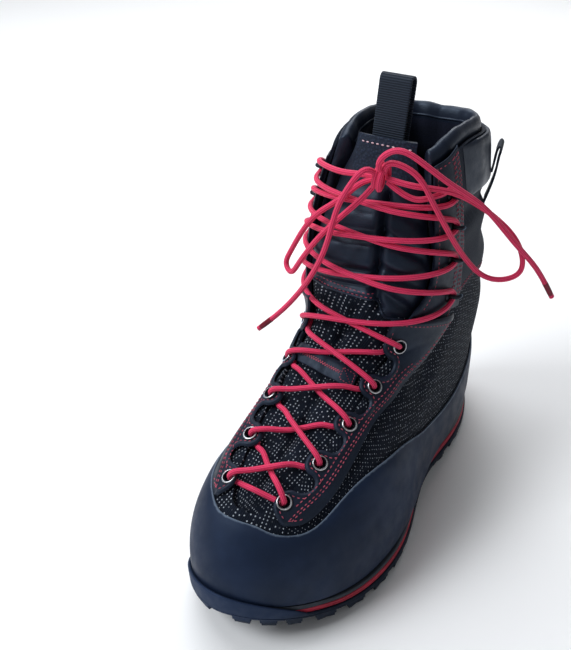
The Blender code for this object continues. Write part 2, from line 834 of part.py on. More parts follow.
def three_armed_lug(x, y, radius, turn):
    """Outline of a centre lug with three blunt arms."""
    corners = []
    for arm in range(3):
        for offset, reach in ((-18, 1.0), (18, 1.0), (60, 0.55)):
            angle = np.radians(turn + 120 * arm + offset)
            corners.append((x + radius * reach * np.cos(angle), y + radius * reach * np.sin(angle)))
    return corners


def build_outsole(group, helpers, finish):
    """Plate with a raised toe bumper, and the lugs joined to it."""
    near_toe = np.clip(1 - (RING_ALONG / BUMPER_REACH) ** 2, 0, 1) ** 0.7
    rise = BUMPER_RISE * near_toe
    by_bumper = RING_ALONG < BUMPER_REACH + 0.06
    inner = np.where(by_bumper, BUMPER_IN, RING_MARGIN - 1.6)
    middle = (inner + RING_MARGIN) / 2
    under = lambda y: tread(y) + LUG_DEPTH
    loops = [
        sole_loop(RING_MARGIN - 2.0, under),
        sole_loop(RING_MARGIN, lambda y: under(y) + 0.8),
        sole_loop(RING_MARGIN, lambda y: plate_top(y) + rise - 0.6),
        sole_loop(middle, lambda y: plate_top(y) + rise),
        sole_loop(inner, lambda y: plate_top(y) + rise * 0.95),
        sole_loop(np.where(by_bumper, BUMPER_IN, RING_MARGIN - 2.2), plate_top),
    ]
    outsole = add_mesh("outsole", loft(loops, strips=True), finish, group)
    bm = bmesh.new()
    for row in EDGE_LUGS:
        lug(bm, edge_lug(*row))
    for row in CENTRE_LUGS:
        lug(bm, three_armed_lug(*row))
    lugs = add_mesh("lugs", bm, finish, helpers)
    join = outsole.modifiers.new("lugs", "BOOLEAN")
    join.operation = "UNION"
    join.solver = "EXACT"
    join.object = lugs


def build_midsoles(group, red, grey):
    """Red midsole on the plate and the grey wedge that lifts the heel on it."""
    red_low = lambda y: plate_top(y) + GAP
    red_high = lambda y: plate_top(y) + red_layer(y)
    loops = [
        sole_loop(layer_offset(1.6), red_low),
        sole_loop(layer_offset(0.9), lambda y: (red_low(y) + red_high(y)) / 2),
        sole_loop(layer_offset(1.2), red_high),
    ]
    add_mesh("midsole", loft(loops, strips=True), red, group)
    grey_low = lambda y: red_high(y) + GAP
    loops = [
        sole_loop(layer_offset(1.0), grey_low),
        sole_loop(layer_offset(0.8), lambda y: grey_low(y) * 0.4 + feather(y) * 0.6),
        sole_loop(layer_offset(1.3), feather),
    ]
    add_mesh("wedge", loft(loops, strips=True), grey, group)


def build_insole(group, finish):
    inset = np.full(len(RING_ALONG), -(WALL + 1.0))
    low = lambda y: feather(y) + GAP + 0.2
    loops = [
        sole_loop(inset, low),
        sole_loop(inset, lambda y: low(y) + INSOLE - 1.0),
        sole_loop(inset - 1.2, lambda y: low(y) + INSOLE),
    ]
    add_mesh("insole", loft(loops, strips=True), finish, group)


def boot_rows():
    """Rows of the upper's sheet all round: sole, rand top, panel border, then the upper's edge."""
    sheets = []
    for side, along in ((1, ALONG), (-1, ALONG[-2:0:-1])):
        lines = side_lines(side, along)
        run = np.array([lengths(line)[-1] for line in lines])
        edge = run - edge_in(along)
        border = np.minimum(run - border_in(along), edge - 3.0)
        rand = np.minimum(rand_top(along), border - 3.0)
        cuts = np.column_stack([0 * along, rand, border, edge])
        sheets.append(rows_between(lines, cuts, (RAND_ROWS, PANEL_ROWS, EDGE_ROWS)))
    return np.concatenate(sheets)


def build_upper(group, upper_finish, rand_finish):
    """Hollow upper, and the rubber rand that wraps its lower part."""
    rows = boot_rows()
    shell("upper", rows, WALL, False, upper_finish, group, closed=True)
    low = rows[:, :RAND_ROWS + 1].copy()
    low[:, 0] += (low[:, 1] - low[:, 0]) * RAND_LIFT / np.linalg.norm(low[:, 1] - low[:, 0], axis=1)[:, None]
    raised = low + normals(low) * (GAP + 0.1)
    shell("rand", raised, RAND_WALL, True, rand_finish, group, closed=True)


def eyestay_edge(side, up):
    """Turn to the eyestay's edge: fingers round the eyelets, notches between, a rounded toe end."""
    column = 2 if side > 0 else 1
    places = [row[0] for row in LACING[:EYELETS]]
    phase = np.interp(up, places, np.arange(EYELETS))
    notch = NOTCH_TURN * np.clip(1.5 * np.sin(np.pi * phase) ** 2, 0, 1)
    finger = np.interp(up, [row[0] for row in THROAT[:5]], [row[column] for row in THROAT[:5]])
    toe = np.clip((places[0] - 1 - up) / (places[0] - 1 - EYESTAY[0][0]), 0, 1) ** 2
    return finger + notch + toe * (EYESTAY[0][column] - 4.0 - finger)


def build_eyestays(group, finish):
    """Facing on each side of the throat, cut back in a notch between its eyelets."""
    up = np.linspace(EYESTAY[0][0], EYESTAY[-1][0], EYESTAY_COLUMNS + 1)[:, None]
    share = np.linspace(0, 1, EYESTAY_ROWS + 1)[None, :]
    for side, name in ((1, "lateral"), (-1, "medial")):
        border = smooth(EYESTAY, 2 if side > 0 else 1)(up)
        edge = eyestay_edge(side, up)
        points = front_surface(up, side * (border + (edge - border) * share), EYESTAY_SEAT)
        shell("eyestay_" + name, points, EYESTAY_WALL, True, finish, group)


def build_tongue(group, finish):
    up = np.linspace(TONGUE[0][0], TONGUE[-1][0], TONGUE_UP + 1)
    share = np.linspace(-1, 1, TONGUE_ACROSS + 1)[:, None]
    points = front_surface(up, share * tongue_turn(up), -tongue_depth(up))
    shell("tongue", points, TONGUE_WALL, False, finish, group)


def collar_sections(section, columns):
    """Loops of a padded collar piece round the rim, thinner towards the throat."""
    below = np.array([row[0] for row in section])
    off = np.array([row[1] for row in section])
    base = off[0]
    loops = []
    for side, places in ((1, ALONG[-columns:]), (-1, ALONG[-2:-columns - 1:-1])):
        for place in places:
            full = np.clip((place - PAD_TAPER[0]) / (PAD_TAPER[1] - PAD_TAPER[0]), 0, 1)
            loops.append(panel_points(side, np.full(len(below), place), below, base + (off - base) * full))
    return loops


def build_collar(group, cuff_finish, liner_finish):
    """Padded cuff outside the collar and the padded liner that stands up inside it."""
    add_mesh("collar_cuff", loft(collar_sections(CUFF_SECTION, COLLAR_COLUMNS)), cuff_finish, group)
    add_mesh("collar_liner", loft(collar_sections(LINER_SECTION, COLLAR_COLUMNS + 1)), liner_finish, group)


def ribbon(name, path, across, width, finish, group):
    """Webbing of one thickness along a path, flat across the given direction."""
    offsets = np.array([-0.5, 0.5]) * width
    points = path[:, None, :] + offsets[None, :, None] * np.asarray(across, float)
    made = add_mesh(name, grid_sheet(points), finish, group)
    thick = made.modifiers.new("webbing", "SOLIDIFY")
    thick.thickness = WEBBING * MM
    thick.offset = 0.0
    thick.use_even_offset = True
    return made


def build_loops(group, finish):
    """Pull loops on the tongue and at the back of the collar."""
    top = TONGUE[-1][0]
    up = np.linspace(top - TONGUE_LOOP_HOLD, top, 4)
    turn = np.degrees(np.arctan2(TONGUE_LOOP_X - lace_axis(up), FRONT_CORE))
    held = front_surface(up, turn, -(tongue_depth(up) + TONGUE_WALL + WEBBING / 2 + TONGUE_LOOP_BACK))
    held[:, 0] = TONGUE_LOOP_X
    heading = held[-1] - held[0]
    heading /= np.linalg.norm(heading)
    back = np.array([0.0, heading[2], -heading[1]])
    rise = [held[-1] + heading * step for step in np.linspace(0, TONGUE_LOOP_RISE, 4)[1:]]
    turn = np.radians(np.linspace(0, 180, 7))[1:]
    centre = rise[-1] + back * TONGUE_LOOP_BEND
    bend = [centre + TONGUE_LOOP_BEND * (heading * np.sin(a) - back * np.cos(a)) for a in turn]
    fall = [bend[-1] - heading * step for step in np.linspace(0, TONGUE_LOOP_RISE + TONGUE_LOOP_HOLD, 6)[1:]]
    ribbon("tongue_loop", np.vstack([held, rise, bend, fall]), (1, 0, 0), TONGUE_LOOP_WIDTH, finish, group)
    below, off = np.array(HEEL_LOOP).T
    path = panel_points(1, np.full(len(below), HEEL_LOOP_ALONG), below, off)
    aside = topline(1, np.array([HEEL_LOOP_ALONG - 0.01, HEEL_LOOP_ALONG + 0.01]))
    ribbon("heel_loop", path, unit_rows((aside[1] - aside[0]) * [1, 1, 0]), HEEL_LOOP_WIDTH, finish, group)


def build_strap(group, finish):
    """Webbing strap that lies across the tongue under the laces."""
    (start, start_up), (end, end_up) = STRAP_ENDS
    share = np.linspace(0, 1, 11)[:, None]
    across = np.array([-0.5, 0.0, 0.5])[None, :]
    turn = start + (end - start) * share
    up = start_up + (end_up - start_up) * share + across * STRAP_WIDTH
    points = front_surface(up, turn, -tongue_depth(up) + GAP + 0.4)
    shell("lace_strap", points, WEBBING, True, finish, group)


def fittings(side, inset=0.0, level=0.0):
    """Where the eyelets and then the hooks of one side sit, moved in towards the throat and off the last."""
    up = np.array([row[0] for row in LACING], float)
    turn = np.array([row[2 if side > 0 else 1] for row in LACING]) - inset
    return front_surface(up, side * turn, level)


def build_eyelets(group, finish):
    """Rolled rings set on the eyestays."""
    for side, name in ((1, "lateral"), (-1, "medial")):
        seat = fittings(side, 0.0, EYESTAY_SEAT + EYESTAY_WALL + EYELET_WIRE + EYELET_CLEAR)[:EYELETS]
        for number, (spot, normal) in enumerate(zip(seat, normals(seat)), 1):
            bpy.ops.mesh.primitive_torus_add(
                major_radius=EYELET_RADIUS * MM, minor_radius=EYELET_WIRE * MM,
                major_segments=10, minor_segments=4)
            made = bpy.context.object
            made.name = made.data.name = f"eyelet_{name}_{number}"
            made.data.materials.append(finish)
            for owner in list(made.users_collection):
                owner.objects.unlink(made)
            group.objects.link(made)
            made.rotation_mode = "QUATERNION"
            made.rotation_quaternion = Vector(normal).to_track_quat("Z", "Y")
            made.location = spot * MM


def tube(name, points, diameter, finish, group, resolution=1):
    """Round cord or wire through points."""
    data = bpy.data.curves.new(name, "CURVE")
    data.dimensions = "3D"
    data.bevel_depth = diameter / 2 * MM
    data.bevel_resolution = resolution
    data.use_fill_caps = True
    spline = data.splines.new("POLY")
    spline.points.add(len(points) - 1)
    for place, point in zip(spline.points, points):
        place.co = (*(np.asarray(point) * MM), 1.0)
    return add_object(name, data, finish, group)


def build_hooks(group, finish):
    """Wire hooks down the shaft, each bent back from the throat."""
    for side, name in ((1, "lateral"), (-1, "medial")):
        routes = [fittings(side, -back, off)[EYELETS:] for back, off in HOOK_BEND]
        for number, points in enumerate(np.stack(routes, axis=1), 1):
            tube(f"hook_{name}_{number}", points, 2 * HOOK_WIRE, finish, group)


def rounded_path(points, spacing):
    """Smooth curve through points of a route, at even spacing."""
    points = np.asarray(points, float)
    run = lengths(points)
    table = np.column_stack([run, points])
    fine = np.linspace(0, run[-1], 40 * len(points))
    curve = np.stack([smooth(table, k)(fine) for k in (1, 2, 3)], axis=1)
    count = max(int(lengths(curve)[-1] / spacing), 3)
    return along_line(curve, np.linspace(0, lengths(curve)[-1], count + 1))


def lace_turn(side, number):
    """Place up the front, turn and height at which the lace turns by one fitting."""
    up, medial, lateral = LACING[number]
    inset, level = LACE_AT_EYELETS if number < EYELETS else LACE_AT_HOOKS
    return up, side * ((lateral if side > 0 else medial) - inset), level


def lace_route(side):
    """Route of the strand that starts on one side, crossing over at every fitting, and ends at the knot."""
    route = []
    for number in range(len(LACING) - 1):
        up, turn, level = np.array([lace_turn(side, number), lace_turn(-side, number + 1)]).T
        near, middle = LACE_LEVELS[number]
        share = np.array([0.0, 0.2, 0.4, 0.6, 0.8])
        height = np.array([level[0], near, middle, middle, near])
        route.append(front_surface(up[0] + np.diff(up) * share, turn[0] + np.diff(turn) * share, height))
        side = -side
    last = front_surface(*lace_turn(side, len(LACING) - 1))
    away = np.array(LACE_TO_KNOT[0 if side > 0 else 1], float)
    leave = [raise_to(last + (away[0] - last) * share, 2 * LACE_CROSS) for share in (0.33, 0.66)]
    return np.vstack([*route, last, leave, away])


def mesh_of(item):
    """Mesh copy of a tube."""
    graph = bpy.context.evaluated_depsgraph_get()
    return bpy.data.meshes.new_from_object(item.evaluated_get(graph))


def build_lace_bars(group, helpers, finish):
    """Two strands that zigzag from side to side and join where they cross."""
    lateral, medial = lace_route(1), lace_route(-1)
    low = raise_to((lateral[0] + medial[0]) / 2, LACE_CROSS)
    foot = rounded_path([medial[0], low, lateral[0]], LACE_STEP)[:-1]
    strands = [np.vstack([foot, rounded_path(lateral, LACE_STEP)]), rounded_path(medial, LACE_STEP)]
    tubes = [tube(f"strand_{i}", strand, LACE, finish, helpers) for i, strand in enumerate(strands)]
    bars = add_object("lace_bars", mesh_of(tubes[0]), finish, group)
    other = add_object("other_strand", mesh_of(tubes[1]), finish, helpers)
    for item in tubes:
        bpy.data.objects.remove(item, do_unlink=True)
    join = bars.modifiers.new("crossings", "BOOLEAN")
    join.operation = "UNION"
    join.solver = "EXACT"
    join.object = other


def build_bow(group, finish):
    """Knot over the tongue with the loops and free ends that leave it."""
    bm = bmesh.new()
    bmesh.ops.create_uvsphere(bm, u_segments=10, v_segments=6, radius=KNOT_RADIUS)
    bmesh.ops.translate(bm, verts=bm.verts, vec=KNOT)
    add_mesh("lace_knot", bm, finish, group)
    knot = np.array(KNOT)
    for name, rows in (LACE_LOOPS | LACE_ENDS).items():
        rows = np.array(rows, float)
        leave = knot + unit_rows(rows[0] - knot) * (KNOT_RADIUS + CORD_CLEAR)
        route = np.vstack([leave, rows])
        if name in LACE_LOOPS:
            route = np.vstack([route, knot + unit_rows(rows[-1] - knot) * (KNOT_RADIUS + CORD_CLEAR)])
        tube(name, rounded_path(route, CORD_STEP), CORD, finish, group, 2)


def raise_to(point, level):
    """The point moved off or on to the surface that lies level outside the last."""
    point = np.asarray(point, float)
    normal = normals(point[None])[0]
    return point + normal * (level - boot_form(point[None])[0])


def main():
    clear_scene()
    group = collection("arborist_boot")
    helpers = collection("cutters")
    rubber = material("outsole rubber", (0.018, 0.019, 0.021), 0.75)
    red = material("red foam", (0.42, 0.02, 0.03), 0.6)
    grey = material("grey foam", (0.05, 0.05, 0.055), 0.7)
    rand = material("rand rubber", (0.02, 0.026, 0.038), 0.45)
    cloth = material("dotted cloth", (0.012, 0.013, 0.018), 0.8)
    leather = material("smooth leather", (0.012, 0.014, 0.019), 0.5)
    lining = material("lining", (0.012, 0.013, 0.022), 0.9)
    webbing = material("webbing", (0.012, 0.012, 0.014), 0.8)
    metal = material("eyelet metal", (0.06, 0.06, 0.065), 0.35, 1.0)
    cord = material("lace", (0.62, 0.03, 0.09), 0.7)
    build_outsole(group, helpers, rubber)
    build_midsoles(group, red, grey)
    build_insole(group, lining)
    build_upper(group, cloth, rand)
    build_eyestays(group, leather)
    build_tongue(group, leather)
    build_collar(group, leather, lining)
    build_loops(group, webbing)
    build_strap(group, webbing)
    build_eyelets(group, metal)
    build_hooks(group, metal)
    build_lace_bars(group, helpers, cord)
    build_bow(group, cord)
    for item in helpers.objects:
        item.hide_render = True
        item.display_type = "WIRE"


if __name__ == "__main__":
    main()
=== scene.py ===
"""Looks of a left arborist boot: leather, dotted cloth, rubber, webbing, lacing and stitching.

X points to the outer (lateral) side of the foot, Y to the heel and Z up from the floor.
The tables are in millimetres and the meshes are made in metres.
"""
import functools
import math

import bmesh
import bpy
import numpy as np
from bpy.props import FloatProperty, FloatVectorProperty, PointerProperty
from mathutils import Matrix, Vector


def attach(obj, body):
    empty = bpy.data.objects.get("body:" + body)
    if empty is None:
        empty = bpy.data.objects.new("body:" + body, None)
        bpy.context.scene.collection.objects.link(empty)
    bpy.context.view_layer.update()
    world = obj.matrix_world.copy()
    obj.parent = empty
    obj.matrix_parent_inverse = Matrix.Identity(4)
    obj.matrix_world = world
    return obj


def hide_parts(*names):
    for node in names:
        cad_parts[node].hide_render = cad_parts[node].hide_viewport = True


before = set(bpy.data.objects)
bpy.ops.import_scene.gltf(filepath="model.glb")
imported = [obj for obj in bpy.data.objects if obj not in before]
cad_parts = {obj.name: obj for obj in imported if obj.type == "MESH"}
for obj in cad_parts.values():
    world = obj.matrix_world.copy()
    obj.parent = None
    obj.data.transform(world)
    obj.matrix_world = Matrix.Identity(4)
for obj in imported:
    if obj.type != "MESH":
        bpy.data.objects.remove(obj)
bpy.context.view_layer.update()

bl_info = {
    "name": "Arborist boot",
    "version": (1, 0, 0),
    "blender": (4, 5, 0),
    "location": "View3D > Sidebar > Boot",
    "description": "Builds the finished surfaces of a lace-up climbing boot on its solid frame",
    "category": "Object",
}

MM = 0.001
BODY = "root"
SIDES = ((1, "lateral"), (-1, "medial"))

# Last: outline of the foot where the upper meets the sole
OUTLINE = (  # place, x, y, how far the sole stands out
    ("toe", -8, -145, 5.2),
    ("lateral toe", 34, -119, 4.2),
    ("lateral ball", 55, -47, 4.2),
    ("lateral waist", 44, 22, -1.0),
    ("lateral heel", 36, 92, 4.2),
    ("heel back", 0, 145, 4.2),
    ("medial heel", -36, 92, 4.2),
    ("medial waist", -43, 16, -1.0),
    ("medial ball", -51, -61, 4.2),
    ("medial toe", -46, -117, 4.2),
)
HEEL = 5

# Last: height of the foot along its ridge, and how widely each side rounds over
INSTEP = (  # y, top z, medial rounding, lateral rounding
    (-145, 66, 32, 36),
    (-125, 77, 33, 42),
    (-103, 84, 32, 47),
    (-76, 94, 28, 52),
    (-49, 105, 24, 55),
    (-22, 117, 22, 55),
    (10, 123, 24, 50),
    (90, 105, 34, 36),
    (145, 82, 26, 26),
)
RIDGE_X = -5.0
RIDGE_BLEND = 16.0
FOOT_POWER = 2.3

# Last: level sections of the shaft
SHAFT = (  # z, front y, back y, middle x, half width
    (30, 10, 136, 0.0, 32.0),
    (70, -8, 140, -1.0, 38.0),
    (100, -6, 138, -1.5, 42.5),
    (135, -3, 130, -4.0, 46.0),
    (165, 2, 125, -5.0, 46.0),
    (200, 11, 118, -3.5, 43.5),
    (245, 23, 111, 2.0, 35.0),
)
SHAFT_POWER = 2.9
ANKLE_BLEND = (  # y, radius that joins foot and shaft
    (-20, 34),
    (60, 22),
    (130, 6),
)

# Sole
LUG_DEPTH = 5.5
PLATE = 3.5
TOE_SPRING = 19.0
TOE_BREAK_Y = -72.0
HEEL_BEVEL = 3.0
HEEL_BREAK_Y = 118.0
SOLE_END_Y = 149.0
ARCH_RISE = 3.0
ARCH_Y = (2.0, 50.0)
LAYERS = (  # y, red midsole, grey wedge
    (-150, 2.5, 4.0),
    (-75, 5.0, 4.0),
    (-20, 5.0, 6.0),
    (30, 5.0, 10.0),
    (80, 5.0, 14.0),
    (150, 4.5, 16.0),
)
BUMPER_REACH = 0.15
BUMPER_RISE = 11.0
BUMPER_IN = 2.7
LAYER_IN_TOE = 2.4
INSOLE = 3.5

# Walls and clearances
WALL = 2.0
GAP = 0.3
RAND_WALL = 2.0
RAND_LIFT = 1.0
EYESTAY_WALL = 1.2
EYESTAY_SEAT = 1.5
TONGUE_WALL = 5.0

# Throat, measured up the front of the boot from the toe cap
FRONT_PIVOT = (70.0, 45.0)
FRONT_SWEEP = (172.0, 100.0)
THROAT_FOOT_Y = -117.0
FRONT_CORE = 45.0
FRONT_RADIUS = FRONT_CORE + 8.0
LACE_AXIS = (  # up the front, x of the lacing's middle
    (0, -5.5),
    (76, -6.0),
    (107, -8.0),
    (137, -7.0),
    (165, -1.0),
    (270, 1.5),
)
THROAT = (  # up the front, turn to the medial edge of the opening, turn to the lateral edge
    (14, 10.5, 13.0),
    (40, 14.5, 20.0),
    (71, 19.0, 23.0),
    (99, 21.5, 28.5),
    (124, 30.0, 35.5),
    (136, 39.0, 47.0),
    (148, 48.0, 58.0),
    (167, 54.0, 60.0),
    (186, 54.0, 55.0),
    (209, 52.0, 48.0),
    (226, 48.0, 43.0),
)
COLLAR_CORNER = 0.66
PAIRING = (  # along the topline, along the outline below it
    (0.00, 0.00),
    (0.20, 0.20),
    (0.40, 0.43),
    (0.66, 0.74),
    (1.00, 1.00),
)
COLLAR_RIM = (  # turn from the front in degrees, z
    (40, 229.0),
    (65, 234.0),
    (90, 235.0),
    (140, 230.0),
    (180, 228.0),
)
LACING = (  # up the front, turn to the medial fitting, turn to the lateral fitting
    (12, 20.0, 24.0),
    (41, 23.0, 31.0),
    (70, 27.0, 35.0),
    (98, 33.0, 40.0),
    (123, 41.0, 47.0),
    (146, 72.0, 84.0),
    (172, 74.0, 79.0),
    (193, 72.0, 71.0),
    (211, 66.0, 63.0),
)
EYELETS = 5

# Where the panels of the upper end, along each side from toe to heel
PANELS = (  # along, rand from the sole, seam from the edge, upper's own edge from the opening
    (0.00, 46.0, 6.0, 1.0),
    (0.04, 46.0, 17.0, 8.0),
    (0.08, 48.0, 24.0, 14.0),
    (0.13, 55.0, 25.0, 14.0),
    (0.20, 60.0, 25.0, 14.0),
    (0.32, 56.0, 25.0, 14.0),
    (0.36, 53.0, 29.0, 14.0),
    (0.43, 48.0, 39.0, 3.0),
    (0.50, 44.0, 54.0, 1.0),
    (0.58, 41.0, 78.0, 0.0),
    (0.66, 38.0, 96.0, 0.0),
    (0.80, 34.0, 98.0, 0.0),
    (1.00, 36.0, 98.0, 0.0),
)


# Lugs along the edges of the sole
EDGE_LUGS = (  # side, start along, end along, depth, lean
    (1, 0.030, 0.058, 30, 3),
    (1, 0.072, 0.100, 30, 5),
    (1, 0.114, 0.142, 26, 6),
    (1, 0.165, 0.205, 17, 4),
    (1, 0.228, 0.268, 16, 3),
    (1, 0.291, 0.331, 16, 3),
    (1, 0.354, 0.394, 16, 2),
    (1, 0.417, 0.457, 15, 2),
    (1, 0.480, 0.515, 13, 0),
    (1, 0.640, 0.690, 17, -3),
    (1, 0.720, 0.770, 17, -3),
    (1, 0.800, 0.855, 18, -2),
    (1, 0.890, 0.980, 16, 0),
    (-1, 0.012, 0.070, 34, 0),
    (-1, 0.082, 0.150, 36, 0),
    (-1, 0.162, 0.232, 36, 0),
    (-1, 0.244, 0.312, 33, 0),
    (-1, 0.336, 0.378, 20, 3),
    (-1, 0.401, 0.443, 19, 3),
    (-1, 0.466, 0.508, 17, 2),
    (-1, 0.540, 0.575, 11, 0),
    (-1, 0.640, 0.690, 17, -3),
    (-1, 0.720, 0.770, 17, -3),
    (-1, 0.800, 0.855, 18, -2),
    (-1, 0.890, 0.980, 16, 0),
)
CENTRE_LUGS = (  # x, y, radius, turn in degrees
    (12, -92, 9, 20),
    (26, -68, 9, 70),
    (6, -60, 9, 0),
    (24, -42, 9, 40),
    (2, -34, 9, 85),
    (18, -16, 9, 10),
    (-6, -8, 8, 50),
    (12, 8, 6, 30),
    (0, 72, 9, 90),
    (0, 94, 9, 30),
    (0, 116, 7, 90),
)
LUG_EMBED = 1.2

# Tongue and padded collar
TONGUE = (  # up the front, half turn, face below the last
    (-6, 17.0, 3.6),
    (16, 28.0, 3.6),
    (46, 34.0, 3.6),
    (76, 38.0, 3.6),
    (107, 42.0, 3.6),
    (137, 56.0, 3.6),
    (165, 62.0, 3.8),
    (190, 53.0, 7.5),
    (205, 48.0, 9.6),
    (233, 40.0, 9.6),
)
CUFF_SECTION = (  # below the rim, off the last
    (36.0, 0.7),
    (18.0, 0.7),
    (1.5, 0.7),
    (0.5, 2.4),
    (7.0, 4.6),
    (24.0, 4.8),
    (34.0, 3.0),
)
LINER_SECTION = (  # below the rim, off the last
    (34.0, -3.0),
    (18.0, -3.0),
    (2.0, -3.0),
    (-5.0, -1.8),
    (-9.5, -4.6),
    (-5.0, -8.2),
    (12.0, -9.2),
    (28.0, -7.8),
)

# Webbing: pull loops and the strap over the instep
WEBBING = 1.4
TONGUE_LOOP_WIDTH = 20.0
TONGUE_LOOP_X = -1.0
TONGUE_LOOP_RISE = 34.0
TONGUE_LOOP_HOLD = 20.0
TONGUE_LOOP_BEND = 3.0
TONGUE_LOOP_BACK = 1.8
HEEL_LOOP_WIDTH = 14.0
HEEL_LOOP_ALONG = 0.865
HEEL_LOOP = (  # below the rim, off the last
    (50.0, 1.3),
    (44.0, 3.4),
    (34.0, 6.6),
    (24.0, 8.8),
    (15.0, 10.4),
    (10.5, 11.0),
    (9.3, 10.3),
    (10.5, 9.4),
    (18.0, 7.5),
    (27.0, 5.8),
)
HEEL_LOOP_TURN = -4.0
STRAP_WIDTH = 12.5
STRAP_ENDS = ((-36.0, 104.0), (27.0, 96.0))  # turn, up the front

# Eyelets, hooks and the lace between them
HOOK_WIRE = 1.3
LACE_CROSS = 2.8
LACE_TO_KNOT = (  # from the last hook of the lateral side, then of the medial side: x, y, z
    ((30, 18, 215), (20.5, 12.5, 219.5)),
    ((-16, 12, 224), (-0.5, 10.4, 226.1)),
)

# Bow: knot, two loops and two free ends
KNOT = (10.0, 10.0, 227.0)
LACE_LOOPS = {  # x, y, z from the knot and back to it
    "lace_loop_lateral": (
        (15, 8, 236), (27, 12, 233), (36, 17, 219), (44, 25, 198), (52, 42, 171), (67, 54, 157),
        (78, 62, 161), (78, 62, 173), (67, 56, 192), (52, 45, 207), (40, 27, 219), (26, 14, 224),
    ),
    "lace_loop_medial": (
        (-1, 9, 222), (-11, 6, 213), (-28, 4, 199), (-41, 4, 182), (-49, 4, 168), (-51, 2.5, 160.5),
        (-46.5, -0.5, 158), (-40, -2, 164.5), (-33, -2.5, 175), (-24, -3, 187), (-9, 0, 204), (3, 4, 217),
    ),
}
LACE_ENDS = {  # x, y, z from the knot to the free end
    "lace_end_lateral": (
        (11, 5, 237), (20, 6, 245), (32, 11, 240), (44, 20, 228), (60, 41, 207), (75, 54, 184),
        (87, 66, 164), (97, 74, 143),
    ),
    "lace_end_medial": (
        (5, 2, 233), (-2, -3, 225), (-9, -6, 210), (-14, -9, 190), (-24, -9, 168), (-38, -7, 147),
        (-51, -9, 131), (-64, -14, 118),
    ),
}


def smooth(table, value=1):
    """Natural cubic curve through two columns of a table, held level beyond its ends."""
    x = np.array([row[0] for row in table], float)
    y = np.array([row[value] for row in table], float)
    step = np.diff(x)
    count = len(x)
    matrix = np.eye(count)
    side = np.zeros(count)
    for i in range(1, count - 1):
        matrix[i, i - 1:i + 2] = step[i - 1], 2 * (step[i - 1] + step[i]), step[i]
        side[i] = 6 * ((y[i + 1] - y[i]) / step[i] - (y[i] - y[i - 1]) / step[i - 1])
    bend = np.linalg.solve(matrix, side)

    def at(where):
        where = np.clip(np.asarray(where, float), x[0], x[-1])
        i = np.clip(np.searchsorted(x, where) - 1, 0, count - 2)
        a = (x[i + 1] - where) / step[i]
        b = 1 - a
        curve = (a ** 3 - a) * bend[i] + (b ** 3 - b) * bend[i + 1]
        return a * y[i] + b * y[i + 1] + curve * step[i] ** 2 / 6

    return at


def straight(table, value=1):
    """Straight lines through two columns of a table."""
    x = [row[0] for row in table]
    y = [row[value] for row in table]
    return lambda where: np.interp(where, x, y)


def unit_rows(vectors):
    """Vectors scaled to length one."""
    return vectors / np.linalg.norm(vectors, axis=-1, keepdims=True)


def side_column(side):
    """Column of a table that holds a side's own values: medial, then lateral."""
    return 2 if side > 0 else 1


def lengths(points):
    """Distance along a line of points."""
    steps = np.linalg.norm(np.diff(points, axis=0), axis=1)
    return np.concatenate([[0.0], np.cumsum(steps)])


def read_rows(where, places, points):
    """Points at the given places, read between rows that lie at their own places."""
    return np.stack([np.interp(where, places, points[:, k]) for k in range(points.shape[1])], axis=-1)


def along_line(points, where):
    """Points at the given distances along a line of points."""
    return read_rows(where, lengths(points), points)


def closed_outline(count=480):
    """Rounded outline through OUTLINE: x, y and the sole's margin, evenly spaced from the toe."""
    knots = np.array([row[1:4] for row in OUTLINE], float)
    total = len(knots)
    chord = np.linalg.norm(np.roll(knots, -1, 0)[:, :2] - knots[:, :2], axis=1) ** 0.75
    start = np.concatenate([[0.0], np.cumsum(chord)])
    matrix = np.zeros((total, total))
    side = np.zeros((total, 3))
    for i in range(total):
        before, after = chord[i - 1], chord[i]
        matrix[i, i - 1] += before
        matrix[i, i] += 2 * (before + after)
        matrix[i, (i + 1) % total] += after
        side[i] = 6 * ((knots[(i + 1) % total] - knots[i]) / after - (knots[i] - knots[i - 1]) / before)
    bend = np.linalg.solve(matrix, side)
    at = np.linspace(0, start[-1], 8 * count, endpoint=False)
    i = np.searchsorted(start, at, side="right") - 1
    j = (i + 1) % total
    a = ((start[i + 1] - at) / chord[i])[:, None]
    b = 1 - a
    curve = (a ** 3 - a) * bend[i] + (b ** 3 - b) * bend[j]
    dense = a * knots[i] + b * knots[j] + curve * (chord[i] ** 2)[:, None] / 6
    halves = []
    heel = int(np.argmin(np.abs(at - start[HEEL])))
    for half in (dense[:heel + 1], np.vstack([dense[heel:], dense[:1]])):
        shares = lengths(half[:, :2])
        places = np.linspace(0, shares[-1], count // 2, endpoint=False)
        halves.append(read_rows(places, shares, half))
    return np.vstack(halves)


RIM = closed_outline()
HALF = len(RIM) // 2
foot_top = smooth(INSTEP, 1)
medial_round = smooth(INSTEP, 2)
lateral_round = smooth(INSTEP, 3)
shaft_front = smooth(SHAFT, 1)
shaft_back = smooth(SHAFT, 2)
shaft_middle = smooth(SHAFT, 3)
shaft_half = smooth(SHAFT, 4)
ankle_blend = straight(ANKLE_BLEND)
red_layer = straight(LAYERS, 1)
grey_layer = smooth(LAYERS, 2)
lace_axis = straight(LACE_AXIS)
collar_rim = smooth(COLLAR_RIM)
paired = smooth(PAIRING)
rand_top = smooth(PANELS, 1)
border_in = straight(PANELS, 2)
edge_in = straight(PANELS, 3)
tongue_turn = smooth(TONGUE, 1)
tongue_depth = straight(TONGUE, 2)


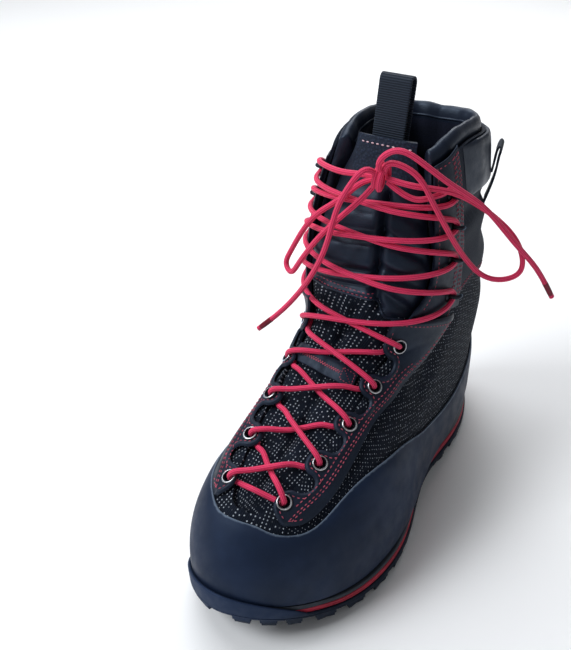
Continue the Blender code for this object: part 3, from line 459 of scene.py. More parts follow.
def tread(y):
    """Height of the lugs' lower faces: flat at ball and heel, with toe spring and heel bevel."""
    toe = np.clip((TOE_BREAK_Y - y) / (TOE_BREAK_Y + SOLE_END_Y), 0, 1) ** 2
    heel = np.clip((y - HEEL_BREAK_Y) / (SOLE_END_Y - HEEL_BREAK_Y), 0, 1) ** 2
    return TOE_SPRING * toe + HEEL_BEVEL * heel


def plate_top(y):
    return tread(y) + LUG_DEPTH + PLATE


def feather(y):
    """Height where the upper meets the sole."""
    return plate_top(y) + red_layer(y) + grey_layer(y)


def outline_distance(x, y):
    """Distance in from the last's outline, below zero outside it."""
    place = np.stack([np.ravel(x), np.ravel(y)], axis=1)
    corners = RIM[::2, :2]
    ends = np.roll(corners, -1, axis=0)
    nearest = np.full(len(place), 1e9)
    inside = np.zeros(len(place), bool)
    for start, end in zip(corners, ends):
        edge = end - start
        from_start = place - start
        share = np.clip(from_start @ edge / (edge @ edge), 0, 1)
        nearest = np.minimum(nearest, ((from_start - share[:, None] * edge) ** 2).sum(axis=1))
        spans = (start[1] > place[:, 1]) != (end[1] > place[:, 1])
        slope = edge[0] / edge[1] if abs(edge[1]) > 1e-9 else 0.0
        inside ^= spans & (place[:, 0] < start[0] + (place[:, 1] - start[1]) * slope)
    return np.where(inside, np.sqrt(nearest), -np.sqrt(nearest)).reshape(np.shape(x))


CHART_X = np.arange(-130, 131)
CHART_Y = np.arange(-220, 221)
CHART = outline_distance(*np.meshgrid(CHART_X, CHART_Y, indexing="ij"))


def inside_distance(x, y):
    """Distance in from the outline, read from a chart of whole millimetres."""
    x = np.clip(x - CHART_X[0], 0, len(CHART_X) - 1.001)
    y = np.clip(y - CHART_Y[0], 0, len(CHART_Y) - 1.001)
    i, j = x.astype(int), y.astype(int)
    u, v = x - i, y - j
    near = CHART[i, j] * (1 - v) + CHART[i, j + 1] * v
    far = CHART[i + 1, j] * (1 - v) + CHART[i + 1, j + 1] * v
    return near * (1 - u) + far * u


def foot_form(x, y, z):
    """Signed distance to the foot, a rounded height over its outline."""
    inside = inside_distance(x, y)
    side = 0.5 + 0.5 * np.tanh((x - RIDGE_X) / RIDGE_BLEND)
    reach = medial_round(y) + (lateral_round(y) - medial_round(y)) * side
    base, top = feather(y), foot_top(y)
    short = 1 - np.clip(inside / reach, 0, 1)
    height = base + (top - base) * (1 - short ** FOOT_POWER) ** (1 / FOOT_POWER) + 6 * np.minimum(inside, 0)
    share = np.clip((z - base) / (top - base), 0, 1)
    inset = reach * (1 - (1 - share ** FOOT_POWER) ** (1 / FOOT_POWER))
    over = np.maximum(z - top, 0)
    level = np.where(over > 0, np.hypot(np.maximum(inset - inside, 0), 3 * over), inset - inside)
    upright = z - height
    return np.sign(upright) * np.abs(upright * level) / (np.hypot(upright, level) + 1e-9)


def shaft_form(x, y, z):
    """Signed distance to the shaft, level rounded sections over the heel."""
    front, back = shaft_front(z), shaft_back(z)
    half = shaft_half(z)
    run = (back - front) / 2
    across = np.abs(x - shaft_middle(z)) / half
    length = np.abs(y - (front + back) / 2) / run
    size = (across ** SHAFT_POWER + length ** SHAFT_POWER) ** (1 / SHAFT_POWER) + 1e-9
    slope_x = (across / size) ** (SHAFT_POWER - 1) / half
    slope_y = (length / size) ** (SHAFT_POWER - 1) / run
    return (size - 1) / np.sqrt(slope_x ** 2 + slope_y ** 2 + 1e-12)


def boot_form(points):
    """Signed distance to the whole last, foot and shaft joined by a soft ankle."""
    x, y, z = points[..., 0], points[..., 1], points[..., 2]
    foot, shaft = foot_form(x, y, z), shaft_form(x, y, z)
    radius = ankle_blend(y)
    return np.minimum(foot, shaft) - np.maximum(radius - np.abs(foot - shaft), 0) ** 2 / (4 * radius)


def cast(start, direction, inner, outer, level=0.0):
    """Where rays leave the last's surface, or the one that lies level outside it."""
    low = np.full(start.shape[:-1], float(inner))
    high = np.full(start.shape[:-1], float(outer))
    for _ in range(34):
        middle = (low + high) / 2
        outside = boot_form(start + direction * middle[..., None]) > level
        high = np.where(outside, middle, high)
        low = np.where(outside, low, middle)
    return start + direction * ((low + high) / 2)[..., None]


def normals(points, step=0.4):
    """Outward direction of the last's surface."""
    slopes = []
    for axis in np.eye(3):
        slopes.append(boot_form(points + axis * step) - boot_form(points - axis * step))
    slope = np.stack(slopes, axis=-1)
    return unit_rows(slope)


def front_line(count=140):
    """Line up the front of the boot from the toe cap to above the collar, and its outward normals."""
    turn = np.radians(np.linspace(*FRONT_SWEEP, count))
    direction = np.stack([0 * turn, np.cos(turn), np.sin(turn)], axis=1)
    start = np.tile([RIDGE_X, *FRONT_PIVOT], (count, 1))
    points = cast(start, direction, 20, 240)
    foot = np.interp(THROAT_FOOT_Y, points[:, 1], np.arange(count))
    run = lengths(points)
    return points, run - np.interp(foot, np.arange(count), run)


FRONT, FRONT_RUN = front_line()


def front_at(up):
    """Point and outward direction up the front line."""
    point = read_rows(up, FRONT_RUN, FRONT)
    rise = read_rows(up + 4.0, FRONT_RUN, FRONT) - read_rows(up - 4.0, FRONT_RUN, FRONT)
    outward = np.stack([0 * rise[..., 0], -rise[..., 2], rise[..., 1]], axis=-1)
    return point, unit_rows(outward)


def front_surface(up, turn, level=0.0):
    """Point of the boot's front at a height up the front line, turned in degrees about a core behind it."""
    up, turn = np.broadcast_arrays(np.asarray(up, float), np.asarray(turn, float))
    point, outward = front_at(up)
    core = point - outward * FRONT_CORE
    core[..., 0] = lace_axis(up)
    spin = np.radians(turn)
    direction = outward * np.cos(spin)[..., None] + np.array([1.0, 0, 0]) * np.sin(spin)[..., None]
    return cast(core, direction, 2, 95, level)


def throat_edge(side):
    """Edge of the eyestay on one side from the toe cap to the collar, with its place up the front."""
    turn = smooth(THROAT, side_column(side))
    first_up = THROAT[0][0]
    bow = np.radians(np.linspace(0, 90, 12))
    rise = np.linspace(first_up, THROAT[-1][0], 60)[1:]
    up = np.concatenate([first_up * (1 - np.cos(bow)), rise])
    open_turn = np.concatenate([turn(first_up) * np.sin(bow), turn(rise)])
    return front_surface(up, side * open_turn), up


def collar_edge(side, corner):
    """Rim of the collar on one side from the eyestay's corner to the back."""
    middle = (shaft_front(corner[2]) + shaft_back(corner[2])) / 2
    begin = np.degrees(np.arctan2(side * (corner[0] - shaft_middle(corner[2])), middle - corner[1]))
    turn = np.linspace(begin, 180, 40)
    settle = np.clip(1 - (turn - begin) / 30, 0, 1) ** 2
    height = collar_rim(turn) + (corner[2] - collar_rim(begin)) * settle
    core = np.stack([shaft_middle(height), (shaft_front(height) + shaft_back(height)) / 2, height], axis=1)
    spin = np.radians(turn)
    return cast(core, np.stack([side * np.sin(spin), -np.cos(spin), 0 * spin], axis=1), 5, 120)


THROAT_EDGE = {side: throat_edge(side) for side in (1, -1)}
COLLAR_EDGE = {side: collar_edge(side, THROAT_EDGE[side][0][-1]) for side in (1, -1)}


def topline(side, along):
    """Upper limit of the upper on one side: eyestay edge from toe to collar, then the collar's rim."""
    throat, collar = THROAT_EDGE[side][0], COLLAR_EDGE[side]
    share = np.clip(along / COLLAR_CORNER, 0, 1)
    on_throat = along_line(throat, share * lengths(throat)[-1])
    share = np.clip((along - COLLAR_CORNER) / (1 - COLLAR_CORNER), 0, 1)
    on_collar = along_line(collar, share * lengths(collar)[-1])
    return np.where((along <= COLLAR_CORNER)[:, None], on_throat, on_collar)


def outline_at(side, along):
    """Outline point, outward direction and sole margin at a share of one side from toe to heel."""
    index = along * HALF if side > 0 else (2 * HALF - along * HALF)
    ring = np.vstack([RIM, RIM, RIM])
    places = np.arange(len(ring)) - len(RIM)
    spot = read_rows(index, places, ring)
    run = read_rows(index + 1.5, places, ring[:, :2]) - read_rows(index - 1.5, places, ring[:, :2])
    out = np.stack([-run[:, 1], run[:, 0]], axis=1)
    out *= np.sign(np.einsum("ij,ij->i", out, spot[:, :2]))[:, None]
    return spot[:, :2], out / np.linalg.norm(out, axis=1)[:, None], spot[:, 2]


def side_lines(side, along, count=48):
    """Lines over the last from its outline to the topline, one for each place along a side."""
    spot, out, _ = outline_at(side, paired(along))
    foot = np.column_stack([spot, feather(spot[:, 1]) + GAP])
    top = topline(side, along)
    share = np.linspace(0, 1, count)[None, :, None]
    start = foot[:, None] + (top - foot)[:, None] * share
    out = np.column_stack([out, 0 * along])[:, None] * (1 - share) + normals(top)[:, None] * share
    out -= np.einsum("ijk,ik->ij", out, unit_rows(top - foot))[..., None] * unit_rows(top - foot)[:, None]
    lines = cast(start, unit_rows(out), -30, 60)
    lines[:, 0] = foot
    return lines


def rows_between(lines, cuts, counts):
    """Points on each line between successive cuts, which are distances along it."""
    rows = []
    for line, own in zip(lines, cuts):
        places = [own[:1]]
        for start, end, count in zip(own[:-1], own[1:], counts):
            places.append(np.linspace(start, end, count + 1)[1:])
        rows.append(along_line(line, np.concatenate(places)))
    return np.array(rows)


def edge_points(line, from_edge):
    """Points on a line at distances from its upper end, going straight on beyond it."""
    run = lengths(line)[-1]
    tip = unit_rows(line[-1] - line[-3])
    return along_line(line, np.minimum(run - from_edge, run)) + tip * np.maximum(-from_edge, 0)[:, None]


def panel_points(side, along, from_edge, height=0.0):
    """Points at a distance from the topline along the last, raised off its surface."""
    along = np.atleast_1d(np.asarray(along, float))
    from_edge = np.broadcast_to(np.asarray(from_edge, float), along.shape)
    points = np.array([
        edge_points(line, np.array([inset]))[0] for line, inset in zip(side_lines(side, along), from_edge)])
    return points + normals(points) * np.asarray(height, float).reshape(-1, 1)


def there_and_back(along):
    """Places along the lateral side to the heel, then along the medial side to the toe."""
    return np.concatenate([along, along[::-1][1:]])


def both_sides(one_side, along):
    """What a function gives for each side, joined at the heel and closed at the toe."""
    joined = [np.concatenate(pair) for pair in zip(one_side(1, along), one_side(-1, along[::-1][1:]))]
    for values in joined:
        values[-1] = values[0]
    return joined


# Fine grids of the finished surfaces
SIDE_COLUMNS = 170
LINE_POINTS = 72
BANDS = (  # rows of the upper's sheet, from the sole to the opening
    ("under the rand", 10),
    ("dotted cloth", 26),
    ("seam", 1),
    ("ankle panel", 42),
)
SHAFT_FACING = (  # up the front, medial outer edge, lateral outer edge
    (139, 92.0, 105.0),
    (157, 93.0, 104.0),
    (175, 94.0, 102.0),
    (192, 92.0, 93.0),
    (208, 86.0, 83.0),
    (222, 78.0, 74.0),
    (238, 60.0, 61.0),
)
SHAFT_FACING_TOP = {1: (227.0, 237.5), -1: (220.0, 225.0)}
SHAFT_FACING_WALL = 1.0
ANKLE_STEP = 0.9
FACING_STEP = 0.9
FACING_LEVEL = ANKLE_STEP + FACING_STEP
STEP_RUN = 0.5
ANKLE_FROM = (0.33, 0.40)
RAND_LINES = 22
RAND_EDGE = (  # along, medial height from the sole, lateral height
    (0.00, 48.0, 48.0),
    (0.04, 48.0, 47.4),
    (0.07, 50.0, 45.2),
    (0.10, 53.0, 44.2),
    (0.135, 56.0, 45.5),
    (0.16, 58.0, 49.0),
    (0.195, 60.0, 57.0),
    (0.24, 60.0, 65.0),
    (0.305, 58.0, 65.0),
    (0.39, 53.0, 57.0),
    (0.45, 47.0, 47.0),
    (0.51, 43.0, 39.5),
    (0.59, 40.0, 33.0),
    (0.66, 38.0, 31.0),
    (0.80, 34.0, 32.0),
    (1.00, 36.0, 36.0),
)
CREASES = (  # side, along and share of height at each end, depth, width
    (1, 0.45, 0.60, 0.63, 0.50, 1.5, 8.0),
    (1, 0.49, 0.74, 0.62, 0.64, 0.9, 6.0),
    (1, 0.66, 0.55, 0.86, 0.47, 1.0, 9.0),
    (1, 0.86, 0.52, 1.00, 0.50, 1.8, 8.0),
    (1, 0.84, 0.66, 1.00, 0.64, 1.2, 7.0),
    (1, 0.67, 0.79, 1.00, 0.79, 2.2, 6.0),
    (1, 0.22, 0.66, 0.36, 0.76, 0.7, 6.0),
    (-1, 0.46, 0.60, 0.64, 0.50, 1.5, 8.0),
    (-1, 0.50, 0.74, 0.62, 0.64, 0.9, 6.0),
    (-1, 0.68, 0.54, 0.86, 0.48, 1.0, 9.0),
    (-1, 0.86, 0.52, 1.00, 0.50, 1.8, 8.0),
    (-1, 0.84, 0.66, 1.00, 0.64, 1.2, 7.0),
    (-1, 0.67, 0.79, 1.00, 0.79, 2.2, 6.0),
    (-1, 0.24, 0.68, 0.36, 0.76, 0.7, 6.0),
)
TONGUE_FOLDS = (  # up the front and turn at each end, depth, width
    (141, 26, 157, 15, 5.6, 2.8),
    (157, 15, 206, 11, 5.6, 2.8),
    (148, -34, 152, 16, 3.4, 2.8),
    (156, -44, 161, 13, 3.8, 3.0),
    (177, -46, 182, 11, 4.0, 3.2),
    (196, -40, 199, 10, 1.8, 3.6),
    (152, 22, 139, 54, 3.8, 2.8),
    (166, 16, 154, 56, 4.0, 3.0),
    (186, 14, 172, 52, 4.2, 3.2),
    (204, 13, 192, 48, 2.4, 3.6),
    (18, 3, 62, 5, 2.6, 3.0),
    (62, 5, 118, 1, 2.2, 3.4),
    (118, 1, 138, 10, 1.6, 3.4),
    (44, -26, 50, 26, 0.9, 4.0),
    (80, -28, 86, 30, 1.0, 4.5),
)
TONGUE_PUFF = 2.2
TONGUE_SHAFT_PUFF = 1.6
TONGUE_TOP = 236.5
TONGUE_NARROWS = 0.25
TONGUE_NARROWS_UP = (205, 230)
TONGUE_TOE_UP = (0, 20)
TONGUE_SHAFT_UP = (140, 155)
TONGUE_FLAT_UP = (196, 215)
TONGUE_GRID = (230, 81)
PATCH_TURN = 30
WELT_TURN = 46
WELT_RADIUS = 0.8
WELT_SIDES = 8
TONGUE_PATCH_FROM = 208.0
TONGUE_LEATHER_FROM = 145.0
GUSSET_DROP = 9.0
GUSSET_TURN = (20.0, 34.0)
ROLL_HEIGHT = 1.0
ROLL_WIDTH = 1.5
EYESTAY_LIFT = 1.2
FLAP_LIFT = 1.2
FLAP_UP = (122, 136)
BORDER_SEAT = 0.25
ROLL_IN = 1.6
EDGE_DROP = 0.7
EDGE_RUN = 0.6
EYESTAY_RUN = 7.0
EYESTAY_FACE = (  # up the front, turn to the medial border, turn to the lateral border
    (0.0, 26.0, 32.5),
    (4.5, 33.0, 40.0),
    (10, 37.5, 44.5),
    (16.5, 40.0, 47.0),
    (24, 41.5, 48.5),
    (32.5, 42.5, 49.5),
    (45, 42.5, 49.5),
    (60, 41.5, 49.0),
    (87, 45.0, 52.0),
    (101, 51.0, 59.0),
    (115, 59.5, 67.5),
    (126, 71.5, 83.5),
    (137, 85.0, 97.0),
)
EYESTAY_ROW = (  # up the front, turn to the medial double row, turn to the lateral one
    (4, 28.0, 35.0),
    (12, 30.0, 37.0),
    (25, 33.5, 41.0),
    (38, 35.5, 43.0),
    (52, 36.0, 43.5),
    (67, 37.0, 44.5),
    (86, 41.0, 48.0),
    (101, 47.0, 55.0),
    (115, 55.5, 63.5),
    (126, 68.5, 80.0),
    (137, 82.0, 94.0),
)
FINGER_REACH = (6.0, 9.0, 10.0, 10.5, 11.5)
NOTCH_PAST = (8.0, 4.5, 4.0, 4.0)
FINGER_SHARE = 0.58
EYESTAY_STEPS = 300
EYESTAY_ACROSS = 26
CLOTH_TO = 0.37
APRON_TO = 0.10
EYELET_HOLE = 3.1
RIM_ANGLE = 55.0
ROUND_SIDES = 14


def ease(value, low, high):
    """Smooth step from nought at low to one at high."""
    share = np.clip((np.asarray(value, float) - low) / (high - low), 0, 1)
    return share * share * (3 - 2 * share)


def line_distance(points, line):
    """Distance from points to a line of points."""
    nearest = np.full(points.shape[:-1], 1e9)
    for start, end in zip(line[:-1], line[1:]):
        edge = end - start
        share = np.clip((points - start) @ edge / (edge @ edge + 1e-9), 0, 1)
        nearest = np.minimum(nearest, np.linalg.norm(points - start - share[..., None] * edge, axis=-1))
    return nearest


def side_point(side, along, share):
    """Points at a share of the height between the sole and the topline."""
    return np.array([
        along_line(line, np.array([part * lengths(line)[-1]]))[0]
        for line, part in zip(side_lines(side, along), share)
    ])


def grid_bmesh(points, uv, bands=None):
    """Quads through a columns by rows grid of points, with a UV map in millimetres."""
    columns, rows = points.shape[0] - 1, points.shape[1] - 1
    if bands is not None:
        bands = np.broadcast_to(bands, points.shape[:2])
    bm = bmesh.new()
    layer = bm.loops.layers.uv.new("surface")
    bmesh.ops.create_grid(bm, x_segments=columns, y_segments=rows, size=1.0)
    bm.verts.index_update()
    flat = np.array([vertex.co[:2] for vertex in bm.verts])
    column = np.rint((flat[:, 0] + 1) / 2 * columns).astype(int)
    row = np.rint((flat[:, 1] + 1) / 2 * rows).astype(int)
    for vertex, place in zip(bm.verts, points[column, row] * MM):
        vertex.co = place
    spread = uv[column, row]
    for face in bm.faces:
        face.smooth = True
        if bands is not None:
            corners = [vertex.index for vertex in face.verts]
            face.material_index = int(bands[column[corners].min(), row[corners].min()])
        for loop in face.loops:
            loop[layer].uv = spread[loop.vert.index]
    return bm


def grid_uv(points):
    """Distances along the middle row and up each column of a grid."""
    middle = points[:, points.shape[1] // 2]
    across = lengths(middle)[:, None] + 0 * points[..., 0]
    up = np.array([lengths(column) for column in points])
    return np.stack([across, up], axis=-1)


def join_seams(bm):
    """Merges the doubled points where a grid meets itself."""
    bmesh.ops.remove_doubles(bm, verts=bm.verts, dist=0.00002)


def cap_holes(bm):
    """Closes the open ends of a tube."""
    bmesh.ops.holes_fill(bm, edges=[edge for edge in bm.edges if edge.is_boundary], sides=0)


def face_outward(bm):
    """Turns an open sheet so that its faces look away from the last."""
    bm.normal_update()
    bm.faces.ensure_lookup_table()
    face = bm.faces[len(bm.faces) // 2]
    outward = normals(np.array([face.calc_center_median()]) / MM)[0]
    if face.normal.dot(Vector(outward)) < 0:
        bmesh.ops.reverse_faces(bm, faces=bm.faces)


def new_piece(name, bm, finishes, replaces=()):
    """Object that rides on the boot and stands for some of its solids."""
    mesh = bpy.data.meshes.new(name)
    bm.to_mesh(mesh)
    bm.free()
    for each in finishes:
        mesh.materials.append(finish(each))
    piece = bpy.data.objects.new(name, mesh)
    bpy.context.scene.collection.objects.link(piece)
    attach(piece, BODY)
    if replaces:
        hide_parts(*replaces)
    return piece


def settle(piece, sharp=50.0):
    """Applies a piece's modifiers and marks its hard edges."""
    graph = bpy.context.evaluated_depsgraph_get()
    mesh = bpy.data.meshes.new_from_object(
        piece.evaluated_get(graph), preserve_all_data_layers=True, depsgraph=graph)
    piece.modifiers.clear()
    rough = piece.data
    piece.data = mesh
    bpy.data.meshes.remove(rough)
    mesh.name = piece.name
    mesh.set_sharp_from_angle(angle=math.radians(sharp))
    return piece


def round_rim(piece, width):
    """Rounds the square edges of a sheet."""
    bevel = piece.modifiers.new("rim", "BEVEL")
    bevel.width = width * MM
    bevel.segments = 2
    bevel.limit_method = "ANGLE"
    bevel.angle_limit = math.radians(RIM_ANGLE)


def thicken(piece, wall, rim, lining=0):
    """Gives a sheet its wall inwards, with a rounded rim, and a lining finish on its inner face."""
    solid = piece.modifiers.new("wall", "SOLIDIFY")
    solid.thickness = wall * MM
    solid.offset = -1.0
    solid.use_even_offset = True
    solid.use_quality_normals = True
    solid.material_offset = lining
    round_rim(piece, rim)
    return settle(piece)


def tube_bmesh(path, radius, sides=12):
    """Closed tube along a path, with its distance along in the UV map. The radius may change."""
    path = np.asarray(path, float)
    radius = np.broadcast_to(np.asarray(radius, float), len(path))
    tangent = unit_rows(np.gradient(path, axis=0))
    across = np.zeros_like(path)
    across[0] = unit_rows(np.cross(tangent[0], [0.3, 0.2, 0.93]))
    for i in range(1, len(path)):
        turned = across[i - 1] - tangent[i] * (across[i - 1] @ tangent[i])
        across[i] = turned / np.linalg.norm(turned)
    other = np.cross(tangent, across)
    spin = np.linspace(0, 2 * np.pi, sides + 1)
    ring = across[:, None] * np.cos(spin)[None, :, None] + other[:, None] * np.sin(spin)[None, :, None]
    points = path[:, None] + ring * radius[:, None, None]
    run = lengths(path)
    uv = np.stack(np.broadcast_arrays(spin[None, :] / (2 * np.pi), run[:, None]), axis=-1)
    bm = grid_bmesh(points, uv)
    join_seams(bm)
    cap_holes(bm)
    bmesh.ops.recalc_face_normals(bm, faces=bm.faces)
    return bm


def add_bmesh(target, other):
    """Adds the faces of one bmesh to another."""
    mesh = bpy.data.meshes.new("joined")
    other.to_mesh(mesh)
    other.free()
    target.from_mesh(mesh)
    bpy.data.meshes.remove(mesh)


def rounded_path(points, spacing):
    """Smooth curve through points of a route, at even spacing."""
    points = np.asarray(points, float)
    run = lengths(points)
    table = np.column_stack([run, points])
    fine = np.linspace(0, run[-1], 40 * len(points))
    curve = np.stack([smooth(table, k)(fine) for k in (1, 2, 3)], axis=1)
    count = max(int(lengths(curve)[-1] / spacing), 3)
    return along_line(curve, np.linspace(0, lengths(curve)[-1], count + 1))


def closed_curve(points, count):
    """Rounded closed curve through points, its first point repeated at the end."""
    points = np.asarray(points, float)
    ring = np.vstack([points[-3:], points, points[:4]])
    run = lengths(ring)
    table = np.column_stack([run, ring])
    places = np.linspace(run[3], run[3 + len(points)], count + 1)
    return np.stack([smooth(table, k)(places) for k in range(1, points.shape[1] + 1)], axis=1)


# Finishes


GLOSS_TINT = (0.62, 0.78, 1.0, 1.0)


class Finish:
    """Node tree of one finish, with short calls for the nodes that finishes share."""

    def __init__(self, name, roughness, **sockets):
        self.material = bpy.data.materials.new(name)
        self.material.use_nodes = True
        self.tree = self.material.node_tree
        self.shader = self.tree.nodes["Principled BSDF"]
        self.shader.inputs["Roughness"].default_value = roughness
        self.shader.inputs["Specular Tint"].default_value = GLOSS_TINT
        for socket, value in sockets.items():
            self.shader.inputs[socket.replace("_", " ")].default_value = value

    def node(self, kind, *values, **settings):
        """Node with its first sockets linked or set in order."""
        made = self.tree.nodes.new(kind)
        for key, value in settings.items():
            setattr(made, key, value)
        for socket, value in zip(made.inputs, values):
            if isinstance(value, bpy.types.NodeSocket):
                self.tree.links.new(value, socket)
            elif value is not None:
                socket.default_value = value
        return made

    def math(self, operation, *values):
        return self.node("ShaderNodeMath", *values, operation=operation).outputs[0]

    def times(self, first, second):
        return self.math("MULTIPLY", first, second)

    def plus(self, first, second):
        return self.math("ADD", first, second)

    def wave(self, value, length):
        """Ribs of a length in millimetres."""
        return self.math("SINE", self.times(value, 2 * math.pi / length))

    def place(self, turn=(0, 0, 0), stretch=(1, 1, 1)):
        """Object coordinates in millimetres."""
        where = self.tree.nodes.new("ShaderNodeTexCoord").outputs["Object"]
        scale = tuple(1000 * part for part in stretch)
        return self.node("ShaderNodeMapping", where, (0, 0, 0), turn, scale).outputs[0]

    def surface(self, turn=0.0):
        """The two distances over the surface in millimetres."""
        where = self.node("ShaderNodeUVMap", uv_map="surface").outputs[0]
        turned = self.node("ShaderNodeMapping", where, (0, 0, 0), (0, 0, math.radians(turn))).outputs[0]
        return self.node("ShaderNodeSeparateXYZ", turned).outputs[:2]

    def noise(self, vector, size, detail=3.0, roughness=0.55):
        """Soft noise with features of a size in millimetres."""
        made = self.node("ShaderNodeTexNoise", vector)
        made.inputs["Scale"].default_value = 1 / size
        made.inputs["Detail"].default_value = detail
        made.inputs["Roughness"].default_value = roughness
        return made.outputs["Fac"]

    def cells(self, vector, size):
        """Distance to the nearest cell middle, for pebbled grain."""
        made = self.node("ShaderNodeTexVoronoi", vector)
        made.inputs["Scale"].default_value = 1 / size
        return made.outputs["Distance"]

    def fade(self, value, low, high, start=0.0, end=1.0):
        """Value changed from one range to another, held at its ends."""
        return self.node("ShaderNodeMapRange", value, low, high, start, end,
                         interpolation_type="SMOOTHSTEP").outputs[0]

    def blend(self, share, first, second):
        made = self.tree.nodes.new("ShaderNodeMix")
        made.data_type = "RGBA"
        for index, value in ((0, share), (6, first), (7, second)):
            if isinstance(value, bpy.types.NodeSocket):
                self.tree.links.new(value, made.inputs[index])
            elif index:
                made.inputs[index].default_value = (*value, 1.0)
            else:
                made.inputs[index].default_value = value
        return made.outputs[2]

    def dots(self, u, v, across, down, radius, keep, stagger=0.5):
        """Small dots in rows, some of them left out."""
        row = self.math("FLOOR", self.math("DIVIDE", v, down))
        shifted = self.plus(self.math("DIVIDE", u, across), self.times(row, stagger))
        column = self.math("FLOOR", shifted)
        from_u = self.times(self.math("SUBTRACT", self.math("FRACT", shifted), 0.5), across)
        level = self.math("FRACT", self.math("DIVIDE", v, down))
        from_v = self.times(self.math("SUBTRACT", level, 0.5), down)
        square = self.plus(self.math("POWER", from_u, 2.0), self.math("POWER", from_v, 2.0))
        dot = self.fade(square, (radius * 1.25) ** 2, (radius * 0.6) ** 2)
        cell = self.node("ShaderNodeCombineXYZ", column, row, 0.0).outputs[0]
        chance = self.node("ShaderNodeTexWhiteNoise", cell, noise_dimensions="2D").outputs["Value"]
        return self.times(dot, self.fade(chance, keep, keep - 0.45))

    def dashes(self, u, v, across, pitch, radius, repeat, share):
        """Rows of fine dots along v, broken into dashes that are staggered from row to row."""
        fine = self.dots(u, v, across, pitch, radius, 1.1, 0.5)
        row = self.math("FLOOR", self.math("DIVIDE", u, across))
        place = self.plus(self.math("DIVIDE", v, repeat), self.times(row, 0.46))
        return self.times(fine, self.math("LESS_THAN", self.math("FRACT", place), share))

    def finish(self, colour=None, roughness=None, height=None, depth=0.1, strength=1.0):
        """Links the colour, roughness and bump, whose depth is in millimetres."""
        if colour is not None:
            self.tree.links.new(colour, self.shader.inputs["Base Color"])
        if roughness is not None:
            self.tree.links.new(roughness, self.shader.inputs["Roughness"])
        if height is not None:
            bump = self.tree.nodes.new("ShaderNodeBump")
            bump.inputs["Strength"].default_value = strength
            bump.inputs["Distance"].default_value = depth * MM
            self.tree.links.new(height, bump.inputs["Height"])
            self.tree.links.new(bump.outputs[0], self.shader.inputs["Normal"])
        return self.material


def shade(colour, share):
    """A colour made darker or lighter."""
    return tuple(part * share for part in colour)


def ribbed_ground(made, colours, ribs, pale, patches, strength, rise, depth):
    """Dark cloth, lighter in random patches of a size, where the rib valleys stay darker as painted shade;
    pale dots of a strength stand up from the ribs.
    """
    patch = made.fade(made.noise(made.place(), patches), 0.35, 0.7)
    # the random lighter patches are the cloth's own tone; inside them the rib valleys are painted darker as
    # shade
    share = made.times(patch, made.fade(ribs, -1.0, 1.0, 0.3, 1.0))
    ground = made.blend(share, shade(colours.cloth, 0.5), colours.cloth)
    colour = made.blend(made.times(pale, strength), ground, colours.dots)
    return made.finish(colour, None, made.plus(ribs, made.times(pale, rise)), depth, 0.7)


def dotted_cloth(colours):
    """Dark ribbed cloth with rows of pale dots and short dashes."""
    made = Finish("dotted_cloth", 0.85, Sheen_Weight=0.03, Specular_IOR_Level=0.18)
    u, v = made.surface(-25.0)
    single = made.dots(made.plus(u, 1.6), v, 6.4, 4.6, 0.28, 0.7)
    pale = made.math("MAXIMUM", single, made.dashes(u, v, 2.9, 1.75, 0.33, 12.3, 0.6))
    ribs = made.wave(u, 1.0)
    return ribbed_ground(made, colours, ribs, pale, 9.0, 0.75, 1.5, 0.12)


def vamp_cloth(colours):
    """Cloth of the tongue and toe with larger dots."""
    made = Finish("vamp_cloth", 0.85, Sheen_Weight=0.03, Specular_IOR_Level=0.18)
    u, v = made.surface(8.0)
    pale = made.dots(u, v, 3.0, 2.1, 0.46, 0.80, 0.0)
    ribs = made.wave(u, 1.25)
    return ribbed_ground(made, colours, ribs, pale, 7.0, 0.85, 2.0, 0.14)


def smooth_leather(colours):
    """Satin dark leather with fine grain and rubbed high spots."""
    made = Finish("smooth_leather", 0.5, Specular_IOR_Level=0.35)
    where = made.place()
    grain = made.cells(where, 0.8)
    fine = made.noise(where, 0.35)
    wear = made.fade(made.noise(where, 14.0, 4.0), 0.45, 0.75)
    colour = made.blend(wear, colours.leather, shade(colours.leather, 1.7))
    rough = made.fade(made.noise(where, 5.0), 0.2, 0.8, 0.42, 0.6)
    height = made.plus(grain, made.times(fine, 0.5))
    return made.finish(colour, rough, height, 0.10, 0.5)


def grained_leather(colours):
    """Pebbled black leather of the tongue's patch: the pebbles' tops are painted lighter as highlight, the
    gaps between them darker as shade.
    """
    made = Finish("grained_leather", 0.55, Specular_IOR_Level=0.35)
    where = made.place()
    pebble = made.cells(where, 1.5)
    # painted light and shade: pebble tops 2.4 times lighter, the gaps between pebbles left dark
    colour = made.blend(made.fade(pebble, 0.1, 0.6), shade(colours.leather, 2.4), colours.leather)
    return made.finish(colour, None, made.math("SUBTRACT", 1.0, pebble), 0.35, 0.8)


def ankle_cloth(colours):
    """Fine ribbed microfibre of the ankle panel, its rib tops painted lighter and its rib valleys darker as
    shade.
    """
    made = Finish("ankle_cloth", 0.7, Specular_IOR_Level=0.25)
    u = made.surface(62.0)[0]
    ribs = made.wave(u, 1.3)
    broken = made.times(ribs, made.fade(made.noise(made.place(), 2.2), 0.35, 0.6))
    # painted light and shade: the colour follows the rib height, lighter on top and darker in the valleys
    rib_shade = made.fade(broken, -0.4, 0.9)
    colour = made.blend(rib_shade, shade(colours.leather, 0.7), shade(colours.leather, 1.5))
    return made.finish(colour, None, broken, 0.12, 0.6)


def soft_leather(colours):
    """Soft padded leather of the cuff and tongue."""
    made = Finish("soft_leather", 0.45, Specular_IOR_Level=0.45)
    where = made.place()
    wrinkle = made.noise(where, 6.0, 5.0, 0.6)
    grain = made.cells(where, 0.9)
    colour = made.blend(made.fade(made.noise(where, 18.0), 0.35, 0.75), colours.leather,
                        shade(colours.leather, 1.5))
    height = made.plus(made.times(wrinkle, 3.0), made.times(grain, 0.5))
    return made.finish(colour, made.fade(wrinkle, 0.3, 0.7, 0.36, 0.52), height, 0.12, 0.5)


